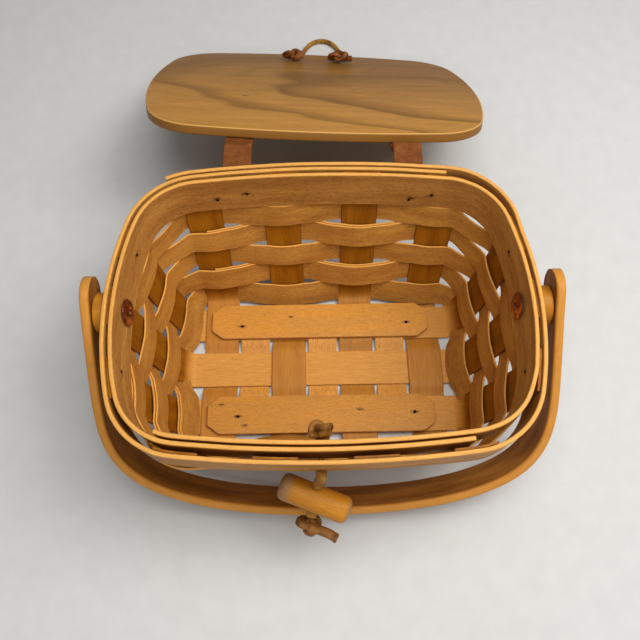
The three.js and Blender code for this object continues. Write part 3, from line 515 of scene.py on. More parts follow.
def on_weaver(bay, z, offset):
    """As on_band, but round a corner a weaver takes its own curve, inside the wall's round corner."""
    index = math.floor(bay)
    t = (bay - index - BAY_EDGE) / (1 - 2 * BAY_EDGE)
    turns = LEG_PLACES[index % LEGS][0] != LEG_PLACES[(index + 1) % LEGS][0]
    if not turns or t <= 0 or t >= 1:
        return on_band(bay, z, offset)

    # A straight strip on a flaring wall sinks where it turns, the more so the higher it lies.
    z -= CORNER_DIP * (z / BAND_BOTTOM) ** 2 * math.sin(math.pi * t) ** 2

    def point_at(level):
        start, start_normal = wall_frame(place_in_bay(index + BAY_EDGE), level)
        end, end_normal = wall_frame(place_in_bay(index + 1 - BAY_EDGE), level)
        chord = end - start
        pull = CORNER_TENSION * np.linalg.norm(chord)
        leaving = np.array((-start_normal[1], start_normal[0], 0)) * pull
        arriving = np.array((-end_normal[1], end_normal[0], 0)) * pull
        point = hermite(t, start, end, leaving, arriving)
        turning = leaving * (3 * t**2 - 4 * t + 1) + arriving * (3 * t**2 - 2 * t)
        along = chord * (6 * t - 6 * t**2) + turning
        outward = np.array((along[1], -along[0], 0))
        return point + outward / np.linalg.norm(outward) * offset

    return between_rows(z, point_at)


def smooth_through(keys, step):
    """Points about step apart on a curve through the keys that never overshoots them."""
    keys = np.array(keys, float)
    chords = np.linalg.norm(np.diff(keys, axis=0), axis=1)
    knots = np.concatenate(([0], np.cumsum(chords)))
    slopes = np.diff(keys, axis=0) / chords[:, None]
    before, after = slopes[:-1], slopes[1:]
    same = before * after > 0
    total = np.where(same, before + after, 1)
    inner = np.where(same, 2 * before * after / total, 0)
    tangents = np.vstack((slopes[:1], inner, slopes[-1:]))
    count = max(int(round(knots[-1] / step)), 2)
    at = np.linspace(0, knots[-1], count + 1)
    index = np.clip(np.searchsorted(knots, at, side="right") - 1, 0, len(chords) - 1)
    span = chords[index][:, None]
    t = ((at - knots[index]) / chords[index])[:, None]
    return hermite(t, keys[index], keys[index + 1], span * tangents[index], span * tangents[index + 1])


# Node trees

MATH = "ShaderNodeMath"
VECTOR = "ShaderNodeVectorMath"
RAMP = "ShaderNodeMapRange"
MIX = "ShaderNodeMix"
NOISE = "ShaderNodeTexNoise"
JOIN_XYZ = "ShaderNodeCombineXYZ"
SPLIT_XYZ = "ShaderNodeSeparateXYZ"
ATTRIBUTE = "ShaderNodeAttribute"
KEPT = "GeometryNodeInputNamedAttribute"
KEEP = "GeometryNodeStoreNamedAttribute"
MOVE = "GeometryNodeSetPosition"


def linear(hex_colour):
    """A colour written as sRGB hex, as the linear RGBA that a socket holds."""
    channels = [int(hex_colour[k : k + 2], 16) / 255 for k in (1, 3, 5)]
    return [c / 12.92 if c <= 0.04045 else ((c + 0.055) / 1.055) ** 2.4 for c in channels] + [1.0]


def add(tree, kind, inputs=(), **settings):
    """Adds a node with its settings and links.

    inputs holds the sockets' values in order, or maps a socket's name or number to its value. A value is
    a plain one, an output to link, or a node whose first output is linked.
    """
    made = tree.nodes.new(kind)
    for key, value in settings.items():
        setattr(made, key, value)
    for key, value in inputs.items() if isinstance(inputs, dict) else enumerate(inputs):
        if isinstance(value, bpy.types.Node):
            value = value.outputs[0]
        if isinstance(value, bpy.types.NodeSocket):
            tree.links.new(value, made.inputs[key])
        else:
            made.inputs[key].default_value = value
    return made


def new_geometry_tree(name, sockets):
    """A geometry tree whose inputs are named sizes; sockets lists (name, socket type, default)."""
    tree = bpy.data.node_groups.new(name, "GeometryNodeTree")
    for socket_name, kind, default in [("Geometry", "NodeSocketGeometry", None), *sockets]:
        made = tree.interface.new_socket(name=socket_name, in_out="INPUT", socket_type=kind)
        if default is not None:
            made.default_value = default
    tree.interface.new_socket(name="Geometry", in_out="OUTPUT", socket_type="NodeSocketGeometry")
    given, result = tree.nodes.new("NodeGroupInput").outputs, tree.nodes.new("NodeGroupOutput").inputs
    return tree, functools.partial(add, tree), given, result[0]


def finish_tree(tree, geometry, material, output, crease=0.75):
    """Smooths all but the creases, and ends the tree in real geometry with its material."""
    node = functools.partial(add, tree)
    angle = node("GeometryNodeInputMeshEdgeAngle")
    creased = node(MATH, (angle, crease), operation="GREATER_THAN")
    smooth = node("GeometryNodeSetShadeSmooth", {"Geometry": geometry}, domain="FACE")
    edges = {"Geometry": smooth, "Selection": creased, "Shade Smooth": False}
    sharp = node("GeometryNodeSetShadeSmooth", edges, domain="EDGE")
    real = node("GeometryNodeRealizeInstances", {"Geometry": sharp})
    painted = node("GeometryNodeSetMaterial", {"Geometry": real, "Material": material})
    tree.links.new(painted.outputs[0], output)


def strip_tree():
    """Gives a strip's middle surface its thickness, thinned at the rounded edges, and a slight waver."""
    tree, node, given, result = new_geometry_tree(
        "Splint Strip",
        [
            ("Thickness", "NodeSocketFloat", 1 * MM),
            ("Waver", "NodeSocketFloat", 0.2 * MM),
            ("Waver Size", "NodeSocketFloat", 18 * MM),
            ("Fray", "NodeSocketFloat", 0.08 * MM),
            ("Seed", "NodeSocketFloat", 0.0),
            ("Material", "NodeSocketMaterial", None),
        ],
    )
    outward = node(KEPT, {"Name": "outward"}, data_type="FLOAT_VECTOR")
    edge = node(KEPT, {"Name": "edge"}, data_type="FLOAT")
    grain = node(KEPT, {"Name": "grain"}, data_type="FLOAT_VECTOR")
    position = node("GeometryNodeInputPosition")

    # The whole strip strays slowly from true, and its edges stray along the grain, as split wood does.
    slow = node(MATH, (1.0, given["Waver Size"]), operation="DIVIDE")
    along_grain = node(VECTOR, (grain, (1 / (9 * MM), 1 / (2 * MM), 1.0)), operation="MULTIPLY")
    strays = []
    for place, scale in ((position, slow), (along_grain, 1.0)):
        drift = {"Vector": place, "Scale": scale, "W": given["Seed"], "Detail": 1.0}
        noise = node(NOISE, drift, noise_dimensions="4D")
        strays.append(node(VECTOR, (noise.outputs["Color"], (0.5, 0.5, 0.5)), operation="SUBTRACT"))
    thinned = node(MATH, (1.2, edge), operation="SUBTRACT")
    fray_reach = node(MATH, (given["Fray"], thinned), operation="MULTIPLY")
    waver = node(VECTOR, {"Vector": strays[0], "Scale": given["Waver"]}, operation="SCALE")
    fray = node(VECTOR, {"Vector": strays[1], "Scale": fray_reach}, operation="SCALE")
    stray = node(VECTOR, (waver, fray), operation="ADD")

    thick = node(MATH, (given["Thickness"], edge), operation="MULTIPLY")
    half_down = node(MATH, (thick, -0.5), operation="MULTIPLY")
    down = node(VECTOR, {"Vector": outward, "Scale": half_down}, operation="SCALE")
    lower_by = node(VECTOR, (down, stray), operation="ADD")
    lower = node(MOVE, {"Geometry": given["Geometry"], "Offset": lower_by})
    whole = {"Mesh": lower, "Offset Scale": 0.0, "Individual": False}
    solid = node("GeometryNodeExtrudeMesh", whole, mode="FACES")
    up = node(VECTOR, {"Vector": outward, "Scale": thick}, operation="SCALE")
    raised = node(MOVE, {"Geometry": solid, "Selection": solid.outputs["Top"], "Offset": up})
    through = node(JOIN_XYZ, (0.0, 0.0, given["Thickness"]))
    grain_above = node(VECTOR, (grain, through), operation="ADD")
    top_grain = {"Geometry": raised, "Selection": solid.outputs["Top"], "Name": "grain", "Value": grain_above}
    kept = node(KEEP, top_grain, data_type="FLOAT_VECTOR", domain="POINT")
    under = node("GeometryNodeFlipFaces", {"Mesh": lower})
    joined = node("GeometryNodeJoinGeometry")
    tree.links.new(kept.outputs[0], joined.inputs[0])
    tree.links.new(under.outputs[0], joined.inputs[0])
    merged = node("GeometryNodeMergeByDistance", {"Geometry": joined, "Distance": 1e-6})
    apart = node(SPLIT_XYZ, (position,))
    above_table = node(MATH, (apart.outputs[2], 0.0), operation="MAXIMUM")
    on_table = node(JOIN_XYZ, (apart.outputs[0], apart.outputs[1], above_table))
    rested = node(MOVE, {"Geometry": merged, "Position": on_table})
    finish_tree(tree, rested, given["Material"], result)
    return tree


def lace_tree():
    """Runs a flat oval section along a path, puckered as soft leather is."""
    tree, node, given, result = new_geometry_tree(
        "Leather Lace",
        [
            ("Width", "NodeSocketFloat", LACE_WIDTH),
            ("Flatness", "NodeSocketFloat", 0.75),
            ("Pucker", "NodeSocketFloat", 0.16 * MM),
            ("Seed", "NodeSocketFloat", 0.0),
            ("Material", "NodeSocketMaterial", None),
        ],
    )
    ring = node("GeometryNodeCurvePrimitiveCircle", {"Resolution": 16, "Radius": 0.5}, mode="RADIUS")
    oval = node(JOIN_XYZ, (given["Flatness"], 1.0, 1.0))
    widened = node(VECTOR, {"Vector": oval, "Scale": given["Width"]}, operation="SCALE")
    section = node("GeometryNodeTransform", {"Geometry": ring, "Scale": widened})
    swept = {"Curve": given["Geometry"], "Profile Curve": section, "Fill Caps": True}
    tube = node("GeometryNodeCurveToMesh", swept)
    pucker = {"Scale": 380.0, "W": given["Seed"], "Detail": 1.5}
    noise = node(NOISE, pucker, noise_dimensions="4D")
    centred = node(MATH, (noise, 0.5), operation="SUBTRACT")
    push = node(MATH, (centred, given["Pucker"]), operation="MULTIPLY")
    normal = node("GeometryNodeInputNormal")
    offset = node(VECTOR, {"Vector": normal, "Scale": push}, operation="SCALE")
    puckered = node(MOVE, {"Geometry": tube, "Offset": offset})
    finish_tree(tree, puckered, given["Material"], result, crease=1.0)
    return tree


def tack_tree():
    """Sets one hammered tack head on each point, turned to the point's outward direction."""
    tree, node, given, result = new_geometry_tree(
        "Tack Heads",
        [
            ("Head", "NodeSocketFloat", 1.7 * MM),
            ("Height", "NodeSocketFloat", 0.5 * MM),
            ("Dents", "NodeSocketFloat", 0.35 * MM),
            ("Seed", "NodeSocketFloat", 0.0),
            ("Material", "NodeSocketMaterial", None),
        ],
    )
    outward = node(KEPT, {"Name": "outward"}, data_type="FLOAT_VECTOR")
    turn = node("FunctionNodeAlignRotationToVector", {"Vector": outward}, axis="Z")
    dome = node("GeometryNodeMeshUVSphere", {"Segments": 18, "Rings": 10, "Radius": 0.5})
    flattened = node(JOIN_XYZ, (given["Head"], given["Head"], given["Height"]))
    spots = {"Points": given["Geometry"], "Instance": dome, "Rotation": turn, "Scale": flattened}
    heads = node("GeometryNodeInstanceOnPoints", spots)
    real = node("GeometryNodeRealizeInstances", {"Geometry": heads})
    blows = {"Scale": 1 / (1.3 * MM), "W": given["Seed"], "Detail": 0.0}
    noise = node(NOISE, blows, noise_dimensions="4D")
    centred = node(VECTOR, (noise.outputs["Color"], (0.5, 0.5, 0.5)), operation="SUBTRACT")
    dent = node(VECTOR, {"Vector": centred, "Scale": given["Dents"]}, operation="SCALE")
    dented = node(MOVE, {"Geometry": real, "Offset": dent})
    finish_tree(tree, dented, given["Material"], result)
    return tree


@functools.lru_cache(maxsize=None)
def trees():
    """The three trees, built once."""
    return {"strip": strip_tree(), "lace": lace_tree(), "tacks": tack_tree()}


def grown(obj, tree_name, **inputs):
    """Runs a tree on an object with the named inputs and makes the result a plain mesh object."""
    tree = trees()[tree_name]
    modifier = obj.modifiers.new(tree.name, "NODES")
    modifier.node_group = tree
    for item in tree.interface.items_tree:
        key = item.name.lower().replace(" ", "_")
        if item.in_out == "INPUT" and key in inputs:
            modifier[item.identifier] = inputs[key]
    depsgraph = bpy.context.evaluated_depsgraph_get()
    mesh = bpy.data.meshes.new_from_object(obj.evaluated_get(depsgraph))
    name = obj.name
    bpy.data.objects.remove(obj)
    return new_object(name, mesh)


def new_object(name, data):
    """An object of that name in the scene, at the origin."""
    made = bpy.data.objects.new(name, data)
    bpy.context.scene.collection.objects.link(made)
    return made


def keep_attributes(mesh, **values):
    """Stores numbers or vectors on a mesh's points."""
    for key, data in values.items():
        data = np.asarray(data, np.float32)
        vectors = data.size == 3 * len(mesh.vertices)
        layer = mesh.attributes.new(key, "FLOAT_VECTOR" if vectors else "FLOAT", "POINT")
        layer.data.foreach_set("vector" if vectors else "value", data.ravel())


def settle(obj, body, slot_name, *nodes):
    """A finished piece rides on its body, stands for its nodes and names its material slot."""
    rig.ride(obj, body)
    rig.replaces(obj, *nodes)
    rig.slot(obj, slot_name)
    return obj


# Materials


def new_material(name):
    """An empty material, and the function that adds a node to it."""
    material = bpy.data.materials.new(name)
    material.use_nodes = True
    tree = material.node_tree
    tree.nodes.clear()
    return material, functools.partial(add, tree)


# Oil and wax rubbed into wood and leather leave a soft gloss, weaker than varnish gives.
SOFT_GLOSS = 0.18
OLD_TACK_STAIN = "#2e1b0d"


def wood(
    name,
    pale,
    deep,
    edge,
    streak=0.2,
    fleck=0.22,
    roughness=0.5,
    clouds=1.0,
    board=None,
    rubbed=None,
    stains=(),
):
    """Oiled wood: clouds of darker growth, fine fibres and short dark pores along the grain.

    Cut edges take their own colour, and so does what is rubbed paler, which is partly painted light. board draws the
    rings of a flat-sawn board, and stains are dark marks round old tacks, in the grain's own coordinates.
    """
    material, node = new_material(name)
    grain = node(ATTRIBUTE, attribute_name="grain").outputs["Vector"]
    tone = node(ATTRIBUTE, attribute_name="tone").outputs["Fac"]
    cut = node(ATTRIBUTE, attribute_name="cut_edge").outputs["Fac"]
    drift = node(JOIN_XYZ, (tone, tone, tone))
    grain_at = node(VECTOR, (drift, (3.7, 3.7, 3.7), grain), operation="MULTIPLY_ADD")

    # Real fibres are 0.05 mm wide and pores 0.1 mm. These are several times coarser, so that they show.
    patterns = []
    grains = ((38 * MM, 6 * MM, 2.0), (7 * MM, 0.5 * MM, 2.0), (2.2 * MM, 0.36 * MM, 1.0))
    for along, across, detail in grains:
        stretched = node(VECTOR, (grain_at, (1 / along, 1 / across, 1 / across)), operation="MULTIPLY")
        patterns.append(node(NOISE, {"Vector": stretched, "Scale": 1.0, "Detail": detail, "Roughness": 0.55}))
    cloud, fibre, pores = patterns
    clouded = node(RAMP, (cloud, 0.34, 0.68, 0.0, clouds))
    colour = node(MIX, {0: clouded, 6: pale, 7: deep}, data_type="RGBA").outputs[2]
    if board:
        colour = board(node, grain, colour)

    fibre_shade = node(RAMP, (fibre, 0.3, 0.7, 1 - streak, 1 + streak * 0.5))
    least = node(MATH, (cut, fleck * 0.7, 1 - fleck), operation="MULTIPLY_ADD")
    pore_shade = node(RAMP, (pores, 0.3, 0.52, least, 1.0))
    tone_shade = node(MATH, (tone, 0.07, 1.0), operation="MULTIPLY_ADD")
    shade = node(MATH, (fibre_shade, pore_shade), operation="MULTIPLY")
    shade = node(MATH, (shade, tone_shade), operation="MULTIPLY")
    grey = node(JOIN_XYZ, (shade, shade, shade))
    colour = node(MIX, {0: cut, 6: colour, 7: edge}, data_type="RGBA").outputs[2]
    # Where the worn attribute is set, a paler colour is painted: on the base it is rubbing and painted light, and on
    # the lid's eased edge it is rubbing and a painted highlight.
    if rubbed:
        worn = node(ATTRIBUTE, attribute_name="worn").outputs["Fac"]
        colour = node(MIX, {0: worn, 6: colour, 7: linear(rubbed)}, data_type="RGBA").outputs[2]
    colour = node(MIX, {0: 1.0, 6: colour, 7: grey}, data_type="RGBA", blend_type="MULTIPLY").outputs[2]
    for x, y, width in stains:
        away = node(VECTOR, (grain, (x, y, 0)), operation="SUBTRACT")
        away = node(VECTOR, (away, (1 / (width * 1.7), 1 / (width * 0.75), 0)), operation="MULTIPLY")
        far = node(VECTOR, (away,), operation="LENGTH").outputs["Value"]
        ragged = node(RAMP, (pores, 0.3, 0.7, -0.5, 0.5))
        reach = node(MATH, (far, ragged), operation="ADD")
        dark = node(RAMP, (reach, 0.35, 1.3, 0.85, 0.0))
        colour = node(MIX, {0: dark, 6: colour, 7: linear(OLD_TACK_STAIN)}, data_type="RGBA").outputs[2]

    relief = node(MATH, (fibre, pore_shade), operation="ADD")
    bump = node("ShaderNodeBump", {"Strength": 0.3, "Distance": 0.1 * MM, "Height": relief})
    shader = {
        "Base Color": colour,
        "Roughness": node(RAMP, (fibre, 0.3, 0.7, roughness + 0.08, roughness - 0.06)),
        "Normal": bump,
        "IOR": 1.5,
        "Specular IOR Level": SOFT_GLOSS,
    }
    node("ShaderNodeOutputMaterial", {"Surface": node("ShaderNodeBsdfPrincipled", shader)})
    return material


def cathedral(deep):
    """The arched rings and soft veins of a flat-sawn board, round a core that lies past its right end. Toward the edge
    that the loop is on it darkens, partly as heartwood and partly as painted shade.
    """

    def rings(node, grain, colour):
        turned = node("ShaderNodeMapping", {"Vector": grain, "Rotation": (0, 0, math.radians(-10))})
        slow = node(VECTOR, (grain, (1 / (85 * MM), 1 / (26 * MM), 0)), operation="MULTIPLY")
        bend = node(NOISE, {"Vector": slow, "Scale": 1.0, "Detail": 1.0})
        bend_by = node(RAMP, (bend, 0.25, 0.75, -6 * MM, 6 * MM))
        from_core = node(VECTOR, (turned, (113 * MM, -4 * MM, 0)), operation="SUBTRACT")
        flat = node(VECTOR, (from_core, (0.3, 1.0, 0)), operation="MULTIPLY")
        round_core = node(VECTOR, (flat,), operation="LENGTH").outputs["Value"]
        ring = node(MATH, (round_core, bend_by), operation="ADD")
        across = node(SPLIT_XYZ, (turned,)).outputs[1]
        along = node(SPLIT_XYZ, (grain,)).outputs[0]

        # Fine straight rings crowd the edge that the loop is on. The board darkens toward that edge, partly as
        # heartwood and partly as painted shade.
        line_at = node(JOIN_XYZ, (node(MATH, (along, 9.0), operation="MULTIPLY"), ring, 0.0))
        stretched = node(VECTOR, (line_at, (1.0, 1 / (3.2 * MM), 0)), operation="MULTIPLY")
        line = node(NOISE, {"Vector": stretched, "Scale": 1.0, "Detail": 1.0})
        heartwood_and_shade = node(RAMP, (across, 45 * MM, -62 * MM, 0.0, 0.72))
        colour = node(MIX, {0: heartwood_and_shade, 6: colour, 7: deep}, data_type="RGBA").outputs[2]
        crowd = node(RAMP, (across, 5 * MM, -42 * MM, 0.06, 0.5))
        share = node(MATH, (node(RAMP, (line, 0.42, 0.62, 0.0, 1.0)), crowd), operation="MULTIPLY")
        colour = node(MIX, {0: share, 6: colour, 7: deep}, data_type="RGBA").outputs[2]
        for centre, inner, depth in ((41 * MM, 12 * MM, 0.9), (65 * MM, 9 * MM, 0.75)):
            inside = node(RAMP, (ring, centre - inner, centre, 0.0, depth))
            outside = node(RAMP, (ring, centre, centre + 2.5 * MM, 1.0, 0.0))
            vein = node(MATH, (inside, outside), operation="MULTIPLY")
            colour = node(MIX, {0: vein, 6: colour, 7: deep}, data_type="RGBA").outputs[2]
        return colour

    return rings


def leather(name, pale, deep, roughness, pebble=0.5 * MM, speckle=0.45):
    """Tanned leather: a waxed, slightly pebbled face, darker in its hollows, in soft clouds of paler and darker brown.
    """
    material, node = new_material(name)
    place = node("ShaderNodeTexCoord").outputs["Object"]
    cloud = node(NOISE, {"Vector": place, "Scale": 1 / (5 * MM), "Detail": 3.0})
    pebbles = node("ShaderNodeTexVoronoi", {"Vector": place, "Scale": 1 / pebble})
    fuzz = node(NOISE, {"Vector": place, "Scale": 1 / (0.9 * MM), "Detail": 3.0})
    clouded = node(RAMP, (cloud, 0.35, 0.65, 0.0, 1.0))
    worn = node(MIX, {0: clouded, 6: pale, 7: deep}, data_type="RGBA").outputs[2]
    hollow = node(RAMP, (fuzz, 0.4, 0.68, 0.0, speckle))
    dark = [channel * 0.45 for channel in deep[:3]] + [1.0]
    colour = node(MIX, {0: hollow, 6: worn, 7: dark}, data_type="RGBA").outputs[2]
    relief = node(MATH, (pebbles, fuzz), operation="SUBTRACT")
    bump = node("ShaderNodeBump", {"Strength": 0.45, "Distance": 0.2 * MM, "Height": relief})
    shader = {
        "Base Color": colour,
        "Roughness": node(RAMP, (fuzz, 0.3, 0.7, roughness - 0.08, roughness + 0.1)),
        "Normal": bump,
        "Specular IOR Level": SOFT_GLOSS,
    }
    node("ShaderNodeOutputMaterial", {"Surface": node("ShaderNodeBsdfPrincipled", shader)})
    return material


def metal(name, bright, dark, roughness, dent=0.1 * MM):
    """Peened or blackened metal: bright where it is rubbed, tarnished in soft patches."""
    material, node = new_material(name)
    place = node("ShaderNodeTexCoord").outputs["Object"]
    tarnish = node(NOISE, {"Vector": place, "Scale": 1 / (2.6 * MM), "Detail": 3.0})
    dents = node(NOISE, {"Vector": place, "Scale": 1 / (2 * MM), "Detail": 0.0})
    patches = node(RAMP, (tarnish, 0.35, 0.65, 0.0, 1.0))
    shader = {
        "Base Color": node(MIX, {0: patches, 6: bright, 7: dark}, data_type="RGBA").outputs[2],
        "Metallic": 1.0,
        "Roughness": node(RAMP, (tarnish, 0.3, 0.7, roughness - 0.06, roughness + 0.12)),
        "Normal": node("ShaderNodeBump", {"Strength": 0.3, "Distance": dent, "Height": dents}),
    }
    node("ShaderNodeOutputMaterial", {"Surface": node("ShaderNodeBsdfPrincipled", shader)})
    return material


def table_cover(colour):
    """A pale matte table cover: a faint quilted mottle that keeps soft shadows soft."""
    material, node = new_material("pale_brushed_cotton_table_cover")
    place = node("ShaderNodeTexCoord").outputs["Object"]
    mottle = node(NOISE, {"Vector": place, "Scale": 1 / (11 * MM), "Detail": 4.0})
    nap = node(NOISE, {"Vector": place, "Scale": 1 / (2.5 * MM), "Detail": 2.0})
    darker = [channel * 0.955 for channel in colour[:3]] + [1.0]
    share = node(RAMP, (mottle, 0.32, 0.68, 0.0, 1.0))
    shader = {
        "Base Color": node(MIX, {0: share, 6: colour, 7: darker}, data_type="RGBA").outputs[2],
        "Roughness": 0.9,
        "Specular IOR Level": 0.2,
        "Normal": node("ShaderNodeBump", {"Strength": 0.3, "Distance": 0.3 * MM, "Height": nap}),
    }
    node("ShaderNodeOutputMaterial", {"Surface": node("ShaderNodeBsdfPrincipled", shader)})
    return material


# Each finish's own colour is in BasketColours. Here are its name, its darker colour, for a wood the colour
# of its cut edges too, and what its making gives the eye.
WOODS = {
    # Maple planed thin and soaked to bend: close straight fibres and an even, warm orange under the oil. Its edges are
    # painted dark brown, a painted shade for the tops that sit in the shade between the bands. On the base it is
    # painted paler, partly rubbed and partly painted light.
    "upright": (
        "planed_maple_splint",
        "#854b04",
        # Painted shade: the uprights' dark edge colour
        "#7a4312",
        {"streak": 0.16, "fleck": 0.12, "rubbed": "#e0a04c"},
    ),
    # The same splint with its face showing: short brown pores, and pale bright edges where it was slit. As the base's
    # fillers it is painted paler on the base, partly rubbed and partly painted light.
    "weaver": (
        "slit_maple_splint",
        "#aa7030",
        "#dea04c",
        {"streak": 0.14, "fleck": 0.34, "rubbed": "#dc9a48"},
    ),
    # Sanded maple strip, the palest wood on the basket, with soft clouds and a few dark pores.
    "cap": ("sanded_maple_strip", "#c68a3c", "#c98f4a", {"streak": 0.14, "fleck": 0.26, "roughness": 0.46}),
    # Maple steamed and bent round the rim: pinkish brown face, short pores, bright golden edge.
    "band": ("steamed_maple_band", "#b07638", "#e6a854", {"streak": 0.16, "fleck": 0.38}),
    # Hardwood steamed into a hoop: dark smooth face with long faint grain, rubbed orange at its edges.
    "handle": (
        "steamed_hardwood_hoop",
        "#85541f",
        "#cb8a38",
        {"streak": 0.14, "fleck": 0.18, "roughness": 0.44},
    ),
    # Flat-sawn board, sanded and oiled: arched veins, darker toward the loop's edge partly as painted shade, a small
    # knot, sides browner than the face, and the corners between them painted bright, partly rubbed and partly a
    # painted highlight.
    "lid": (
        "flat_sawn_maple_board",
        "#80561f",
        "#8f6026",
        {"streak": 0.06, "fleck": 0.14, "roughness": 0.46, "clouds": 0.3, "rubbed": "#deaa62"},
    ),
    # Dowel rod turned and waxed: golden, faint long grain, greyer brown where its ends show end grain.
    "dowel": (
        "turned_hardwood_dowel",
        "#ab6e20",
        "#94704a",
        {"streak": 0.14, "fleck": 0.16, "roughness": 0.42},
    ),
}
RAWHIDE = {"roughness": 0.5, "pebble": 0.8 * MM, "speckle": 0.3}
OTHERS = {
    # Vegetable-tanned cowhide, cut from a dyed side: dull reddish brown, darker specks in its pores.
    "strap": (leather, "vegetable_tanned_cowhide_strap", "#6e3a14", {"roughness": 0.66}),
    # Rawhide cut into laces and waxed: golden brown, dark in its twists, with a soft gloss.
    "lace": (leather, "waxed_rawhide_lace", "#7a4c16", RAWHIDE),
    # The same rawhide dyed darker and pulled tight, so that it is redder and its pores are closed.
    "knot": (leather, "dyed_rawhide_knot", "#5a2e10", RAWHIDE),
    # The toggle's rawhide, browned by handling: between the golden lace and the dyed knots.
    "tail": (leather, "handled_rawhide_knot", "#5c3a16", RAWHIDE),
    # Peened copper gone brown with age: smooth and dark, with a small bright pink highlight.
    "copper": (metal, "peened_copper", "#74482f", {"roughness": 0.24, "dent": 0.02 * MM}),
    # Blued steel dulled by rust: nearly black, and never mirror bright.
    "steel": (metal, "blued_steel_tack", "#120d0a", {"roughness": 0.5}),
}


@functools.lru_cache(maxsize=None)
def made_finish(name, colour, stains):
    """The material of a finish in one colour, for a wood with its own marks of old tacks."""
    pale = [*colour, 1.0]
    if name in WOODS:
        title, deep, edge, settings = WOODS[name]
        deep = linear(deep)
        board = cathedral(deep) if name == "lid" else None
        return wood(title, pale, deep, linear(edge), board=board, stains=stains, **settings)
    make, title, deep, settings = OTHERS[name]
    return make(title, pale, linear(deep), **settings)


def finish(name, stains=()):
    """The material of one kind of piece in the user's colour, made once for each colour."""
    colour = getattr(bpy.context.scene.basket_colours, name)
    return made_finish(name, tuple(colour), tuple(stains))


# Strips


def across_stops(width, rounding, inner=4):
    """Distances across a strip from one edge: close together over the rounded edges."""
    edge = [0, rounding * 0.1, rounding * 0.35, rounding, rounding + 0.25 * MM]
    middle = [mix(edge[-1], width - edge[-1], k / inner) for k in range(1, inner)]
    return edge + middle + [width - distance for distance in reversed(edge)]


def edge_share(distance, thickness, rounding):
    """How much of its thickness a strip keeps at a distance from its edge."""
    inside = max(rounding - distance, 0)
    return 1 - (rounding - math.sqrt(max(rounding**2 - inside**2, 0))) / (thickness / 2)


def piece_tone(name):
    """A steady number from -1 to 1 for a piece, so that no two strips have the same shade or grain."""
    return math.sin(sum((index + 1) * ord(letter) for index, letter in enumerate(name)) * 12.9898)


# Below this height the strips are painted paler, and less over the fade below it: partly rubbed by things put in and
# taken out, partly painted light on the base, which faces up.
WORN_AND_LIT_HEIGHT = 9 * MM
WORN_AND_LIT_FADE = 5 * MM


def strip(name, rows, stops, thickness, rounding, material, waver=0.2 * MM, fray=0.08 * MM, worn=0.0):
    """A wooden or leather strip. rows lists the middle surface's points at each stop across it.

    worn is how far the part that lies on the base is painted paler, partly as rubbing and partly as painted light.
    """
    points = np.array(rows, float)
    along_step = np.gradient(points, axis=0)
    across_step = np.gradient(points, axis=1)
    outward = np.cross(along_step, across_step)
    outward /= np.linalg.norm(outward, axis=2, keepdims=True)
    middle = points[:, points.shape[1] // 2]
    along = np.concatenate(([0], np.cumsum(np.linalg.norm(np.diff(middle, axis=0), axis=1))))
    row_count, column_count = points.shape[:2]
    width = stops[-1]
    edge = [edge_share(min(stop, width - stop), thickness, rounding) for stop in stops]

    mesh = bpy.data.meshes.new(name)
    faces = []
    for row in range(row_count - 1):
        for column in range(column_count - 1):
            a = row * column_count + column
            faces.append((a, a + column_count, a + column_count + 1, a + 1))
    mesh.from_pydata(points.reshape(-1, 3).tolist(), [], faces)
    from_edge = np.minimum(stops, width - np.array(stops))
    cut = np.clip(1 - (from_edge - rounding * 0.35) / (rounding * 0.65 + 0.2 * MM), 0, 1)
    grain = np.zeros((row_count, column_count, 3))
    grain[:, :, 0] = along[:, None]
    grain[:, :, 1] = np.array(stops)[None, :]
    tone = piece_tone(name)
    keep_attributes(
        mesh,
        outward=outward,
        grain=grain,
        edge=np.tile(edge, row_count),
        cut_edge=np.tile(cut, row_count),
        tone=np.full(row_count * column_count, tone),
        worn=worn * np.clip((WORN_AND_LIT_HEIGHT - points[:, :, 2]) / WORN_AND_LIT_FADE, 0, 1),
    )
    obj = new_object(name, mesh)
    sizes = {"thickness": thickness, "waver": waver, "fray": fray}
    return grown(obj, "strip", seed=tone * 10, material=material, **sizes)


def laid_strip(name, body, slot_name, rows, stops, thickness, rounding, material, **look):
    """A strip that rides on a body and stands for the node of its name."""
    obj = strip(f"fine_{name}", rows, stops, thickness, rounding, material, **look)
    return settle(obj, body, slot_name, name)


def ring_rows(start, end, low, high, stops, offset_at, point_at, steps_per_bay=18):
    """Rows of a strip round the wall between two heights, off the wall by offset_at(bay)."""
    count = int((end - start) * steps_per_bay)
    rows = []
    for k in range(count + 1):
        bay = mix(start, end, k / count)
        offset = offset_at(bay)
        rows.append([point_at(bay, mix(low, high, stop / stops[-1]), offset) for stop in stops])
    return np.array(rows)


def grain_place(rows, stops, point):
    """Where a point lies along and across a strip's grain."""
    away = np.linalg.norm(rows - np.array(point), axis=2)
    row, column = np.unravel_index(np.argmin(away), away.shape)
    middle = rows[:, rows.shape[1] // 2]
    along = np.linalg.norm(np.diff(middle[: row + 1], axis=0), axis=1).sum()
    return float(along), float(stops[column])


def weave_wave(bay):
    """1 outside a leg and -1 inside it, crossing between the legs' edges."""
    index = math.floor(bay)
    sign = 1 if index % 2 == 0 else -1
    across = clamp((bay - index - BAY_EDGE) / (1 - 2 * BAY_EDGE))
    return sign * math.cos(math.pi * across)


def weave_crown(bay):
    """How far a weaver bulges over a leg: 1 at its middle, 0 at its edges."""
    near = abs(bay - round(bay)) / BAY_EDGE
    return max(1 - near**2, 0)


def size(name, description, default, low, high):
    """A length that a user may change, with its limits."""
    limits = {"default": default, "min": low, "max": high}
    return bpy.props.FloatProperty(
        name=name, description=description, unit="LENGTH", subtype="DISTANCE", **limits
    )


